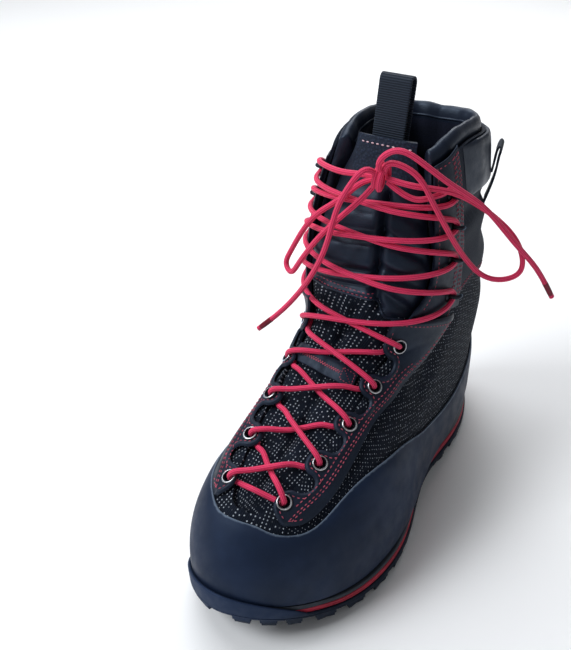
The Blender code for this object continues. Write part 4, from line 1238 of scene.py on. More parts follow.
def rand_rubber(colours):
    """Navy rubber, satin and scuffed, rubbed pale along its upper edge."""
    made = Finish("rand_rubber", 0.55, Specular_IOR_Level=0.22)
    where = made.place()
    from_edge = made.surface()[1]
    broken = made.times(made.noise(where, 4.0, 4.0), 2.2)
    rubbed = made.fade(made.math("SUBTRACT", from_edge, broken), 0.2, -0.9)
    cloud = made.fade(made.noise(where, 30.0), 0.3, 0.75)
    ground = made.blend(cloud, shade(colours.rand, 0.8), shade(colours.rand, 1.25))
    scuff = made.noise(made.place((0.4, 0.2, 0.9), (1.0, 0.08, 0.25)), 2.4, 5.0, 0.65)
    scuffed = made.blend(made.fade(scuff, 0.66, 0.82, 0.0, 0.35), ground, shade(colours.rand, 2.6))
    colour = made.blend(rubbed, scuffed, colours.edge)
    rough = made.fade(made.noise(where, 11.0, 5.0), 0.25, 0.75, 0.46, 0.64)
    height = made.plus(made.noise(where, 0.5), made.times(made.noise(where, 9.0), 2.0))
    return made.finish(colour, rough, height, 0.08, 0.4)


def outsole_rubber(colours):
    """Matt black rubber with dust on the faces that touch the ground, and a toe bumper in the rand's colour
    lightened as painted light.
    """
    made = Finish("outsole_rubber", 0.62, Specular_IOR_Level=0.3)
    where = made.place()
    height_up = made.node("ShaderNodeSeparateXYZ", where).outputs[2]
    low = made.fade(height_up, 2.5, 0.2)
    dust = made.times(low, made.fade(made.noise(where, 4.0, 5.0), 0.4, 0.7))
    # toe bumper above 14 mm: the rand's colour, which is its own, made 1.5 times lighter as painted light
    # against its shade
    bumper = made.blend(made.fade(height_up, 14.0, 24.0), colours.outsole, shade(colours.rand, 1.5))
    colour = made.blend(dust, bumper, shade(colours.outsole, 3.0))
    grain = made.plus(made.noise(where, 0.4), made.noise(where, 2.5))
    return made.finish(colour, made.fade(made.noise(where, 6.0), 0.3, 0.7, 0.6, 0.78), grain, 0.10, 0.5)


def foam(name, colour, roughness):
    """Moulded foam with fine cells."""
    made = Finish(name, roughness, Specular_IOR_Level=0.35)
    where = made.place()
    cloud = made.fade(made.noise(where, 8.0, 4.0), 0.3, 0.7)
    mixed = made.blend(cloud, shade(colour, 0.75), shade(colour, 1.15))
    return made.finish(mixed, None, made.cells(where, 0.5), 0.06, 0.5)


def lining_mesh(colours):
    """Soft navy lining cloth, the pits of its mesh painted darker as shade."""
    made = Finish("lining_mesh", 0.9, Sheen_Weight=0.05, Specular_IOR_Level=0.2)
    where = made.place()
    holes = made.cells(where, 1.1)
    # painted shade: the mesh's pits, low in the bump, are darker
    colour = made.blend(made.fade(holes, 0.15, 0.45), shade(colours.lining, 0.5), colours.lining)
    return made.finish(colour, None, holes, 0.2, 0.6)


def ribbed_webbing(colours):
    """Grosgrain tape with ribs across it, the rib tops painted lighter and the valleys darker as shade."""
    made = Finish("ribbed_webbing", 0.7, Sheen_Weight=0.04, Specular_IOR_Level=0.3)
    u, v = made.surface()
    ribs = made.wave(v, 1.25)
    thread = made.wave(u, 0.55)
    # painted light and shade: the colour follows the rib height, lighter on top and darker in the valleys
    rib_shade = made.fade(made.plus(ribs, made.times(thread, 0.25)), -0.8, 1.0)
    colour = made.blend(rib_shade, shade(colours.webbing, 0.45), shade(colours.webbing, 1.5))
    return made.finish(colour, None, ribs, 0.22, 0.8)


def lace_braid(colours):
    """Round woven lace, its ribs running along it; the darker red in the valleys between the ribs is painted
    shade.
    """
    made = Finish("lace_braid", 0.6, Sheen_Weight=0.08, Specular_IOR_Level=0.3)
    u, v = made.surface()
    rib = made.math("COSINE", made.times(u, 2 * math.pi * 9))
    lean = made.plus(made.math("DIVIDE", v, 0.85), made.times(u, 4.5))
    tick = made.wave(lean, 1.0)
    woven = made.plus(made.times(rib, 0.7), made.times(tick, 0.4))
    # painted shade: the lace colour on the ribs, a darker red in the valleys between them
    colour = made.blend(made.fade(woven, -0.95, 0.55), colours.lace_valley_shade, colours.lace)
    return made.finish(colour, None, woven, 0.14, 0.8)


def thread_finish(colours):
    """Twisted sewing thread."""
    made = Finish("thread", 0.6, Specular_IOR_Level=0.4)
    where = made.place()
    colour = made.blend(made.fade(made.noise(where, 5.0), 0.3, 0.7), shade(colours.thread, 0.6),
                        colours.thread)
    return made.finish(colour, None, made.noise(where, 0.3), 0.05, 0.6)


def pale_thread(colours):
    """Pale pink thread of the tongue's patch and collar corner."""
    made = Finish("pale_thread", 0.6, Specular_IOR_Level=0.4)
    where = made.place()
    colour = made.blend(made.noise(where, 3.0), (0.55, 0.30, 0.36), (0.85, 0.66, 0.70))
    return made.finish(colour, None, made.noise(where, 0.3), 0.05, 0.6)


def black_metal(colours):
    """Blackened metal, rubbed bright in places."""
    made = Finish("black_metal", 0.36, Metallic=0.85)
    where = made.place()
    rub = made.fade(made.noise(where, 1.6, 4.0), 0.62, 0.8)
    colour = made.blend(rub, colours.metal, shade(colours.metal, 5.0))
    rough = made.fade(made.noise(where, 2.0), 0.3, 0.7, 0.28, 0.5)
    return made.finish(colour, rough, made.noise(where, 0.6), 0.03, 0.4)


def bright_metal(colours):
    """Bare metal of the eyelets' barrels."""
    made = Finish("bright_metal", 0.28, Metallic=1.0)
    where = made.place()
    colour = made.blend(made.noise(where, 1.2), (0.36, 0.36, 0.38), (0.72, 0.72, 0.74))
    rough = made.fade(made.noise(where, 1.0), 0.3, 0.7, 0.2, 0.42)
    return made.finish(colour, rough, made.noise(where, 0.5), 0.03, 0.4)


def floor_paper(colours):
    """Pale seamless paper."""
    made = Finish("floor_paper", 0.9)
    cloud = made.noise(made.place(), 300.0)
    colour = made.blend(cloud, shade(colours.floor, 0.985), colours.floor)
    return made.finish(colour)


FINISHES = {
    "dotted cloth": dotted_cloth,
    "vamp cloth": vamp_cloth,
    "smooth leather": smooth_leather,
    "ankle cloth": ankle_cloth,
    "grained leather": grained_leather,
    "soft leather": soft_leather,
    "rand rubber": rand_rubber,
    "outsole rubber": outsole_rubber,
    "red foam": lambda colours: foam("red_foam", tuple(colours.midsole), 0.55),
    "grey foam": lambda colours: foam("grey_foam", tuple(colours.wedge), 0.6),
    "lining": lining_mesh,
    "webbing": ribbed_webbing,
    "lace": lace_braid,
    "aglet": lambda colours: foam("aglet", tuple(colours.aglet), 0.3),
    "thread": thread_finish,
    "pale thread": pale_thread,
    "black metal": black_metal,
    "bright metal": bright_metal,
    "floor paper": floor_paper,
}
made_finishes = {}


def finish(name):
    """The finish of that name, made from the scene's colours when it is first asked for."""
    if name not in made_finishes:
        made_finishes[name] = FINISHES[name](bpy.context.scene.boot_colours)
    return made_finishes[name]


# Sole

RING_COLUMNS = 130
CAP_ROWS = 10
LUG_STEP = 1.1
LUG_EDGE = 0.45
PLATE_GROOVE = 0.5
LUG_INSET = 0.4
ARCH_RUN = 12
LAYER_BLEND = (0.02, 0.05)
RING_ALONG = np.linspace(0, 1, RING_COLUMNS + 1)
SPOT, OUT, MARGIN = both_sides(outline_at, RING_ALONG)
PLACE = there_and_back(RING_ALONG)


def sole_line(offset, height):
    """Line round the sole at an offset from the last's outline, at a height worked out from y."""
    spot = SPOT + OUT * np.reshape(offset, (-1, 1))
    return np.column_stack([spot, height(spot[:, 1])])


def sole_cap(line, height):
    """Sheet that closes a line round the sole, following its height."""
    lateral = line[:RING_COLUMNS + 1]
    medial = line[:RING_COLUMNS - 1:-1]
    share = np.linspace(0, 1, CAP_ROWS + 1)[None, :, None]
    sheet = lateral[:, None] * (1 - share) + medial[:, None] * share
    sheet[:, 1:-1, 2] = height(sheet[:, 1:-1, 1])
    return sheet


def sole_layer(lines, low, high):
    """Closed layer of the sole through lines round it, with sheets across its faces."""
    wall = np.stack(lines, axis=1)
    bm = grid_bmesh(wall, grid_uv(wall))
    for line, height in ((lines[0], low), (lines[-1], high)):
        sheet = sole_cap(line, height)
        add_bmesh(bm, grid_bmesh(sheet, sheet[..., :2]))
    join_seams(bm)
    bmesh.ops.recalc_face_normals(bm, faces=bm.faces)
    return bm


def layer_offset(recess):
    """How far a midsole layer stands out: inside the toe bumper, then back from the sole's edge."""
    blend = np.clip((PLACE - BUMPER_REACH - LAYER_BLEND[0]) / LAYER_BLEND[1], 0, 1)
    return LAYER_IN_TOE + (MARGIN - recess - LAYER_IN_TOE) * blend


def arch_rise(y):
    """How far the lugs of the arch stay off the floor."""
    start, end = ARCH_Y
    return ARCH_RISE * np.clip(np.minimum(y - start, end - y) / ARCH_RUN, 0, 1)


def edge_lug(side, start, end, depth, lean):
    """Outline of a lug that follows the sole's edge."""
    along = np.linspace(start, end, 7)
    spot, out, margin = outline_at(side, along)
    outer = spot + out * (margin - LUG_INSET)[:, None]
    heading = (outer[-1] - outer[0]) / np.linalg.norm(outer[-1] - outer[0])
    inner = outer[[-1, 0]] - out[[-1, 0]] * depth + heading * lean
    return np.vstack([outer, inner])


def three_armed_lug(x, y, radius, turn):
    """Outline of a centre lug with three blunt arms."""
    corners = []
    for arm in range(3):
        for offset, reach in ((-18, 1.0), (18, 1.0), (60, 0.55)):
            angle = np.radians(turn + 120 * arm + offset)
            corners.append((x + radius * reach * np.cos(angle), y + radius * reach * np.sin(angle)))
    return np.array(corners)


def add_lug(bm, outline):
    """Stepped lug from inside the plate down to the tread, with worn lower edges."""
    middle = outline.mean(axis=0)
    run = outline - middle
    reach = np.linalg.norm(run, axis=1)
    part = bmesh.new()
    steps = ((0.0, LUG_EMBED, 1.0), (0.3, 0.0, 0.55), (LUG_STEP, 0.0, 0.5), (LUG_STEP + 0.4, 0.0, 0.0))
    rings = []
    for inset, lift, share in steps:
        ring = middle + run * (1 - inset / reach)[:, None]
        y = ring[:, 1]
        height = tread(y) + LUG_DEPTH * share + lift + arch_rise(y) * (1 - share)
        rings.append([part.verts.new(Vector(point) * MM) for point in np.column_stack([ring, height])])
    part.faces.new(rings[0])
    lower = part.faces.new(rings[-1])
    for upper, under in zip(rings[:-1], rings[1:]):
        for i in range(len(upper)):
            j = (i + 1) % len(upper)
            part.faces.new((upper[i], upper[j], under[j], under[i]))
    bmesh.ops.recalc_face_normals(part, faces=part.faces)
    bmesh.ops.bevel(part, geom=list(lower.edges), offset=LUG_EDGE * MM, offset_type="OFFSET", segments=2,
                    profile=0.5, affect="EDGES", material=-1)
    add_bmesh(bm, part)


def build_outsole():
    """Rubber plate with its toe bumper and lugs."""
    near_toe = np.clip(1 - (PLACE / BUMPER_REACH) ** 2, 0, 1) ** 0.7
    rise = BUMPER_RISE * near_toe
    by_bumper = PLACE < BUMPER_REACH + 0.06
    inner = np.where(by_bumper, BUMPER_IN, MARGIN - 1.6)
    under = lambda y: tread(y) + LUG_DEPTH
    lines = [
        sole_line(MARGIN - 2.0, under),
        sole_line(MARGIN - 0.5, lambda y: under(y) + 0.2),
        sole_line(MARGIN, lambda y: under(y) + 0.8),
        sole_line(MARGIN, lambda y: under(y) + 1.6),
        sole_line(MARGIN - PLATE_GROOVE, lambda y: under(y) + 1.9),
        sole_line(MARGIN, lambda y: under(y) + 2.2),
        sole_line(MARGIN, lambda y: plate_top(y) + rise - 1.0),
        sole_line(MARGIN - 0.35, lambda y: plate_top(y) + rise - 0.3),
        sole_line((inner + MARGIN) / 2, lambda y: plate_top(y) + rise),
        sole_line(inner, lambda y: plate_top(y) + rise * 0.95),
        sole_line(np.where(by_bumper, BUMPER_IN, MARGIN - 2.2), plate_top),
    ]
    bm = sole_layer(lines, under, plate_top)
    for row in EDGE_LUGS:
        add_lug(bm, edge_lug(*row))
    for row in CENTRE_LUGS:
        add_lug(bm, three_armed_lug(*row))
    settle(new_piece("outsole_tread", bm, ["outsole rubber"], ["outsole"]), 35)


def build_midsoles():
    """Red midsole and the grey wedge over it, each with a rounded edge and a moulded line."""
    red_low = lambda y: plate_top(y) + GAP
    red_high = lambda y: plate_top(y) + red_layer(y)
    between = lambda share: lambda y: red_low(y) * (1 - share) + red_high(y) * share
    edges = ((0.0, 1.7), (0.06, 1.2), (0.25, 0.9), (0.48, 0.85), (0.54, 1.2), (0.60, 0.85), (0.85, 0.95),
             (0.96, 1.2), (1.0, 1.7))
    lines = [sole_line(layer_offset(recess), between(share)) for share, recess in edges]
    bm = sole_layer(lines, red_low, red_high)
    settle(new_piece("midsole_red", bm, ["red foam"], ["midsole"]), 60)
    low = lambda y: red_high(y) + GAP
    level = lambda share: lambda y: low(y) * (1 - share) + feather(y) * share
    edges = ((0.0, 1.8), (0.05, 1.2), (0.2, 0.9), (0.6, 0.8), (0.88, 1.0), (0.96, 1.3), (1.0, 1.9))
    lines = [sole_line(layer_offset(recess), level(share)) for share, recess in edges]
    bm = sole_layer(lines, low, feather)
    settle(new_piece("wedge_grey", bm, ["grey foam"], ["wedge"]), 60)


def build_insole():
    """Thin board that closes the upper underneath."""
    low = lambda y: feather(y) + GAP + 0.2
    inset = np.full(len(PLACE), -(WALL + 1.0))
    lines = [
        sole_line(inset, low),
        sole_line(inset, lambda y: low(y) + INSOLE - 1.2),
        sole_line(inset - 0.5, lambda y: low(y) + INSOLE - 0.3),
        sole_line(inset - 1.6, lambda y: low(y) + INSOLE),
    ]
    bm = sole_layer(lines, low, lambda y: low(y) + INSOLE)
    settle(new_piece("insole_pad", bm, ["lining"], ["insole"]), 60)


# Upper


def boot_sheet(side, along):
    """Rows of the upper's sheet on one side, with their levels off the last."""
    lines = side_lines(side, along, LINE_POINTS)
    run = np.array([lengths(line)[-1] for line in lines])
    edge = run - edge_in(along) * (1 - ease(along, 0.36, 0.43))
    seam = np.minimum(run - border_in(along), edge - 6.0)
    rand = np.minimum(rand_top(along), seam - 3.0)
    cuts = np.column_stack([0 * along, rand, seam - STEP_RUN, seam, edge])
    counts = [count for _, count in BANDS]
    points = rows_between(lines, cuts, counts)
    steps = np.zeros(points.shape[:2])
    steps[:, sum(counts[:3]):] = (ANKLE_STEP * ease(along, *ANKLE_FROM))[:, None]
    return points, steps


@functools.cache
def crease_lines():
    """Line of each crease on the last, with its depth and width."""
    share = np.linspace(0, 1, 9)
    return [
        (side_point(side, start + (end - start) * share, low + (high - low) * share), depth, width)
        for side, start, low, end, high, depth, width in CREASES
    ]


def crease_drop(points):
    """How far the creases sink each point of the upper."""
    drop = np.zeros(points.shape[:-1])
    for line, depth, width in crease_lines():
        away = line_distance(points, line)
        drop += depth * (np.exp(-(away / width) ** 2) - 0.35 * np.exp(-((away - 2 * width) / width) ** 2))
    return drop


def build_upper():
    """Hollow upper: dotted cloth below its seam and at the toe, ankle panel above the seam."""
    along = np.linspace(0, 1, SIDE_COLUMNS + 1)
    points, steps = both_sides(boot_sheet, along)
    uv = grid_uv(points)
    points = points + normals(points) * (steps - crease_drop(points))[..., None]
    counts = [count for _, count in BANDS]
    bands = np.tile(np.append(np.repeat([0, 0, 1, 1], counts), 1), (len(points), 1))
    bands[there_and_back(along) < CLOTH_TO] *= 2
    bands[there_and_back(along) < APRON_TO] = 2
    bm = grid_bmesh(points, uv, bands)
    join_seams(bm)
    face_outward(bm)
    names = ("dotted cloth", "ankle cloth", "vamp cloth", "lining")
    piece = new_piece("upper_shell", bm, names, ["upper"])
    thicken(piece, WALL, 0.5, lining=3)


def rand_sheet(side, along):
    """Outer face of the rand on one side and its distance from the upper edge."""
    lines = side_lines(side, along, LINE_POINTS)
    share = 1 - (1 - np.linspace(0, 1, RAND_LINES + 1)) ** 1.6
    top = smooth(RAND_EDGE, side_column(side))(along)
    places = RAND_LIFT + (top - RAND_LIFT)[:, None] * share
    points = np.array([along_line(line, own) for line, own in zip(lines, places)])
    return points, top[:, None] - places


def build_rand():
    """Rubber wrap round the foot, thinner at its upper edge."""
    along = np.linspace(0, 1, SIDE_COLUMNS + 1)
    points, from_edge = both_sides(rand_sheet, along)
    uv = grid_uv(points)
    thin = 0.7 * np.exp(-(from_edge / 3.0) ** 2)
    points = points + normals(points) * (GAP + 0.1 + RAND_WALL - thin)[..., None]
    uv[..., 1] = from_edge
    bm = grid_bmesh(points, uv)
    join_seams(bm)
    face_outward(bm)
    piece = new_piece("rand_wrap", bm, ["rand rubber"], ["rand"])
    thicken(piece, RAND_WALL - 0.9, 0.35)


# Eyestays


def arc(turn):
    """Millimetres round the front of the boot for a turn in degrees."""
    return np.radians(turn) * FRONT_RADIUS


def eyelet_line(side, up):
    """Turn to the row of eyelets."""
    rows = np.array(LACING[:EYELETS], float)
    return np.interp(up, rows[:, 0], rows[:, side_column(side)])


def eyestay_edge(side, up):
    """Turn to the eyestay's edge: rounded fingers at the eyelets, notches between, a rounded toe end."""
    places = np.array([row[0] for row in LACING[:EYELETS]])
    phase = np.interp(up, places, np.arange(EYELETS))
    away = 2 * np.abs(phase - np.rint(phase))
    finger = np.sqrt(np.clip(1 - (away / FINGER_SHARE) ** 2, 0, 1))
    notch = np.sqrt(np.clip(1 - ((1 - away) / (1 - FINGER_SHARE)) ** 2, 0, 1)) * (away > FINGER_SHARE)
    reach = np.interp(up, places, FINGER_REACH)
    past = np.interp(up, (places[1:] + places[:-1]) / 2, NOTCH_PAST)
    edge = eyelet_line(side, up) - reach * finger + past * notch
    first = EYESTAY_FACE[0]
    toe = np.clip((places[0] - 2 - up) / (places[0] - 2 - first[0]), 0, 1) ** 2
    return edge + toe * (first[side_column(side)] - 3.0 - edge)


def eyestay_border(side, up):
    """Turn to the eyestay's border on the cloth."""
    return smooth(EYESTAY_FACE, side_column(side))(up)


def eyestay_level(side, up, turn):
    """Outer face of the eyestay off the last: down on the cloth at its border, a rolled rim at its edge."""
    fine = np.linspace(EYESTAY_FACE[0][0], EYESTAY_FACE[-1][0], 400)
    rim = np.column_stack([fine, arc(eyestay_edge(side, fine))])
    rim = np.vstack([rim, (fine[-1], arc(eyestay_border(side, fine[-1])))])
    place = np.stack(np.broadcast_arrays(up, arc(turn)), axis=-1)
    to_edge = line_distance(place, rim)
    to_border = arc(eyestay_border(side, up) - turn)
    seat = BORDER_SEAT + (EYESTAY_SEAT - BORDER_SEAT) * ease(to_border, 0.0, EYESTAY_RUN)
    roll = ROLL_HEIGHT * np.exp(-((to_edge - ROLL_IN) / ROLL_WIDTH) ** 2)
    flap = FLAP_LIFT * ease(up, *FLAP_UP)
    return seat + EYESTAY_LIFT + flap + roll - EDGE_DROP * np.exp(-(to_edge / EDGE_RUN) ** 2)


def eyelet_spots(side):
    """Middles of one side's eyelets on the face of the eyestay."""
    up, medial, lateral = np.array(LACING[:EYELETS], float).T
    turn = lateral if side > 0 else medial
    return front_surface(up, side * turn, eyestay_level(side, up, turn) + 0.2)


def build_eyestays():
    """Leather facing on each side of the throat, cut back in a notch between its eyelets."""
    share = np.linspace(0, 1, EYESTAY_ACROSS + 1)[None, :] ** 0.8
    fine = np.linspace(EYESTAY_FACE[0][0], EYESTAY_FACE[-1][0], 1500)
    for side, name in SIDES:
        run = lengths(np.column_stack([fine, arc(eyestay_edge(side, fine))]))
        up = np.interp(np.linspace(0, run[-1], EYESTAY_STEPS + 1), run, fine)[:, None]
        border, edge = eyestay_border(side, up), eyestay_edge(side, up)
        turn = border + (edge - border) * share
        points = front_surface(up, side * turn, eyestay_level(side, up, turn))
        bm = grid_bmesh(points, grid_uv(points))
        face_outward(bm)
        middles = np.array([face.calc_center_median() for face in bm.faces]) / MM
        away = np.linalg.norm(middles[:, None] - eyelet_spots(side)[None], axis=-1).min(axis=1)
        holes = [face for face, far in zip(bm.faces, away) if far < EYELET_HOLE]
        bmesh.ops.delete(bm, geom=holes, context="FACES")
        piece = new_piece("eyestay_leather_" + name, bm, ["smooth leather"],
                          ["eyestay_" + name])
        thicken(piece, EYESTAY_WALL, 0.3)


def shaft_facing(side, share, rise, level):
    """Points of the facing beside the shaft's opening, at shares out from its edge and up it."""
    column = side_column(side)
    inner_top, outer_top = SHAFT_FACING_TOP[side]
    low, high = SHAFT_FACING[0][0], inner_top + (outer_top - inner_top) * share
    up = low + (high - low) * rise
    inner = smooth(THROAT, column)(np.minimum(up, THROAT[-1][0])) - 0.8
    inner -= 0.3 * np.maximum(up - THROAT[-1][0], 0)
    turn = inner + (smooth(SHAFT_FACING, column)(up) - inner) * share
    return front_surface(up, side * turn, level)


def build_shaft_facings():
    """Smooth leather facings that carry the hooks."""
    share = np.linspace(0, 1, 41)[None, :]
    rise = np.linspace(0, 1, 101)[:, None]
    level = FACING_LEVEL + 0.5 * np.exp(-((share - 0.05) / 0.04) ** 2) + 0 * rise
    for side, name in SIDES:
        points = shaft_facing(side, share, rise, level)
        bm = grid_bmesh(points, grid_uv(points))
        face_outward(bm)
        piece = new_piece("shaft_facing_" + name, bm, ["smooth leather"])
        thicken(piece, SHAFT_FACING_WALL, 0.3)


# Tongue


def tongue_level(up, turn):
    """Face of the tongue off the last, puffed between its folds."""
    radius = FRONT_CORE
    place = np.stack(np.broadcast_arrays(up, np.radians(turn) * radius), axis=-1)
    edge = np.abs(turn) / tongue_turn(up)
    puff = TONGUE_PUFF + TONGUE_SHAFT_PUFF * ease(up, *TONGUE_SHAFT_UP)
    puff = puff * ease(up, *TONGUE_TOE_UP) * (1 - ease(up, *TONGUE_FLAT_UP))
    puff = puff * (1 - edge ** 4)
    for start, start_turn, end, end_turn, depth, width in TONGUE_FOLDS:
        line = np.array([(start, math.radians(start_turn) * radius), (end, math.radians(end_turn) * radius)])
        away = line_distance(place, line)
        puff -= depth * np.exp(-(away / width) ** 2) * (1 - edge ** 4)
    return puff - tongue_depth(up)


def build_tongue():
    """Padded tongue: dotted cloth below, folded leather up the shaft, grained patch at its top."""
    up = np.linspace(TONGUE[0][0], TONGUE_TOP, TONGUE_GRID[0])
    share = np.linspace(-1, 1, TONGUE_GRID[1])[:, None]
    turn = share * tongue_turn(up) * (1 - TONGUE_NARROWS * ease(up, *TONGUE_NARROWS_UP))
    points = front_surface(up, turn, tongue_level(up + 0 * turn, turn))
    bands = (up > TONGUE_LEATHER_FROM - GUSSET_DROP * ease(turn, *GUSSET_TURN)).astype(int)
    bands = np.where((up > TONGUE_PATCH_FROM) & (np.abs(turn) < PATCH_TURN), 2, bands)
    bm = grid_bmesh(points, grid_uv(points), bands)
    face_outward(bm)
    names = ("vamp cloth", "soft leather", "grained leather", "lining")
    piece = new_piece("tongue_padded", bm, names, ["tongue"])
    thicken(piece, TONGUE_WALL, 1.4, lining=3)
    turn = np.linspace(-WELT_TURN, WELT_TURN, 140)
    up = TONGUE_LEATHER_FROM - GUSSET_DROP * ease(turn, *GUSSET_TURN)
    welt = tube_bmesh(front_surface(up, turn, tongue_level(up, turn) + 0.1), WELT_RADIUS, WELT_SIDES)
    new_piece("tongue_welt", welt, ["soft leather"])


# Collar

COLLAR_PLACES = 90
CUFF_RUN = (0.735, (0.72, 0.79))
ROLL_RUN = (0.595, (0.53, 0.66))
ROLL_SWELL = 0.35
SWELL_AT = 0.69
SWELL_RUN = 0.035
GATHERS = (61, 137)
CUFF_RIPPLE = 0.04
ROLL_RIPPLE = 0.07
PIPING_FROM = 0.68
PIPING = ((-2.5, -8.8),)
LINING_BELOW = -1.0
LINING_INSIDE = -7.0
SECTION_POINTS = 40


def collar_loops(curve, base, first, taper, ripple, swell=0.0):
    """A section carried round the collar's rim, thinner towards the throat and gathered along its length."""
    along = np.linspace(first, 1, COLLAR_PLACES)
    loops = []
    for side, places in ((1, along), (-1, along[::-1][1:])):
        for place, line in zip(places, side_lines(side, places)):
            full = ease(place, *taper) * (1 + swell * math.exp(-((place - SWELL_AT) / SWELL_RUN) ** 2))
            gather = math.sin(GATHERS[0] * place + side) + 0.6 * math.sin(GATHERS[1] * place)
            off = base + (curve[:, 1] - base) * full * (1 + ripple * gather)
            spots = edge_points(line, curve[:, 0] - 4 * ripple * gather)
            loops.append(spots + normals(spots) * off[:, None])
    return np.array(loops)


def collar_loft(section, first, taper, ripple, lined=None, swell=0.0):
    """Closed padded piece round the collar's rim."""
    points = collar_loops(closed_curve(section, SECTION_POINTS), section[0][1], first, taper, ripple, swell)
    bm = grid_bmesh(points, grid_uv(points), lined)
    join_seams(bm)
    cap_holes(bm)
    bmesh.ops.recalc_face_normals(bm, faces=bm.faces)
    return bm


def build_collar():
    """Padded cuff outside the collar and the lined roll that stands up inside it."""
    bm = collar_loft(CUFF_SECTION, *CUFF_RUN, CUFF_RIPPLE)
    cuff = new_piece("collar_cuff_padded", bm, ["soft leather"], ["collar_cuff"])
    settle(cuff, 60)
    inside = closed_curve(LINER_SECTION, SECTION_POINTS)
    lined = ((inside[:, 1] < LINING_INSIDE) & (inside[:, 0] > LINING_BELOW)).astype(int)
    bm = collar_loft(LINER_SECTION, *ROLL_RUN, ROLL_RIPPLE, lined, ROLL_SWELL)
    roll = new_piece("collar_roll", bm, ["soft leather", "lining"], ["collar_liner"])
    settle(roll, 60)
    seam = collar_loops(np.array(PIPING), LINER_SECTION[0][1], PIPING_FROM, ROLL_RUN[1], ROLL_RIPPLE,
                        ROLL_SWELL)
    piping = tube_bmesh(seam[:, 0], WELT_RADIUS, WELT_SIDES)
    new_piece("collar_piping", piping, ["soft leather"])


# Pull loops and strap


def tape(name, path, across, width, replaces, rim=0.35):
    """Webbing of one thickness along a path, flat across the given direction."""
    path = along_line(path, np.linspace(0, lengths(path)[-1], int(lengths(path)[-1] / 1.2)))
    offsets = np.linspace(-0.5, 0.5, 15) * width
    points = path[:, None, :] + offsets[None, :, None] * np.asarray(across, float)
    uv = np.stack(np.broadcast_arrays(offsets[None, :], lengths(path)[:, None]), axis=-1)
    piece = new_piece(name, grid_bmesh(points, uv), ["webbing"], replaces)
    solid = piece.modifiers.new("webbing", "SOLIDIFY")
    solid.thickness = WEBBING * MM
    solid.offset = 0.0
    round_rim(piece, rim)
    return settle(piece)


def build_loops():
    """Pull loops on the tongue and at the back of the collar."""
    top = TONGUE[-1][0]
    up = np.linspace(top - TONGUE_LOOP_HOLD, top, 4)
    turn = np.degrees(np.arctan2(TONGUE_LOOP_X - lace_axis(up), FRONT_CORE))
    held = front_surface(up, turn, -(tongue_depth(up) + TONGUE_WALL + WEBBING / 2 + TONGUE_LOOP_BACK))
    held[:, 0] = TONGUE_LOOP_X
    heading = unit_rows(held[-1] - held[0])
    back = np.array([0.0, heading[2], -heading[1]])
    rise = [held[-1] + heading * step for step in np.linspace(0, TONGUE_LOOP_RISE, 4)[1:]]
    centre = rise[-1] + back * TONGUE_LOOP_BEND
    bend = [
        centre + TONGUE_LOOP_BEND * (heading * np.sin(a) - back * np.cos(a))
        for a in np.radians(np.linspace(0, 180, 13))[1:]
    ]
    fall = [bend[-1] - heading * step for step in np.linspace(0, TONGUE_LOOP_RISE + TONGUE_LOOP_HOLD, 6)[1:]]
    path = np.vstack([held, rise, bend, fall])
    tape("tongue_pull_loop", path, (1, 0, 0), TONGUE_LOOP_WIDTH, ["tongue_loop"])
    below, off = np.array(HEEL_LOOP).T
    path = rounded_path(panel_points(1, np.full(len(below), HEEL_LOOP_ALONG), below, off), 1.5)
    before, after = topline(1, np.array([HEEL_LOOP_ALONG - 0.01, HEEL_LOOP_ALONG + 0.01]))
    level = Vector(unit_rows((after - before) * [1, 1, 0]))
    aside = Matrix.Rotation(math.radians(HEEL_LOOP_TURN), 3, "Z") @ level
    tape("heel_pull_loop", path, aside, HEEL_LOOP_WIDTH, ["heel_loop"])


STRAP_LEVEL = GAP + 2.9
STRAP_WALL = 1.8
STRAP_CROWN = 1.1
STRAP_DROP = 1.2
STRAP_DROP_RUN = (0.28, 0.5)
STRAP_FOLLOWS = 0.4


def strap_points(share, across, level):
    """Points of the instep strap at shares along and across it."""
    (start, start_up), (end, end_up) = STRAP_ENDS
    turn = start + (end - start) * share
    drop = STRAP_DROP * ease(np.abs(share - 0.5), *STRAP_DROP_RUN)
    level = level + STRAP_CROWN * (1 - (2 * across) ** 2) - drop
    up = start_up + (end_up - start_up) * share + across * STRAP_WIDTH
    under = tongue_level(up + 0 * turn, turn + 0 * up) * STRAP_FOLLOWS
    under = under - tongue_depth(up) * (1 - STRAP_FOLLOWS)
    return front_surface(up, turn, under + level)


def build_strap():
    """Leather strap that lies across the tongue under the laces."""
    share = np.linspace(0, 1, 61)[:, None]
    across = np.linspace(-0.5, 0.5, 15)[None, :]
    points = strap_points(share, across, STRAP_LEVEL)
    uv = np.stack(np.broadcast_arrays(across * STRAP_WIDTH, lengths(points[:, 7])[:, None]), axis=-1)
    bm = grid_bmesh(points, uv)
    face_outward(bm)
    piece = new_piece("instep_strap", bm, ["smooth leather"], ["lace_strap"])
    thicken(piece, STRAP_WALL, 0.5)


# Eyelets and hooks

EYELET_RING = (  # radius, height over the leather
    (3.1, -1.6),
    (3.1, -0.2),
    (3.3, 0.5),
    (3.7, 0.85),
    (4.1, 0.85),
    (4.45, 0.55),
    (4.55, 0.3),
    (4.9, 0.2),
    (5.1, -0.4),
)
EYELET_BRIGHT = (3, 5)
HOOK_PATH = (  # turn back from the throat, off the last
    (0.0, 1.0),
    (0.0, 4.2),
    (1.5, 6.8),
    (5.0, 7.6),
    (8.5, 6.6),
)
HOOK_PLATE = (  # radius, height over the leather
    (4.6, -0.4),
    (4.6, 0.4),
    (4.2, 0.8),
    (2.2, 1.0),
    (0.01, 1.1),
)


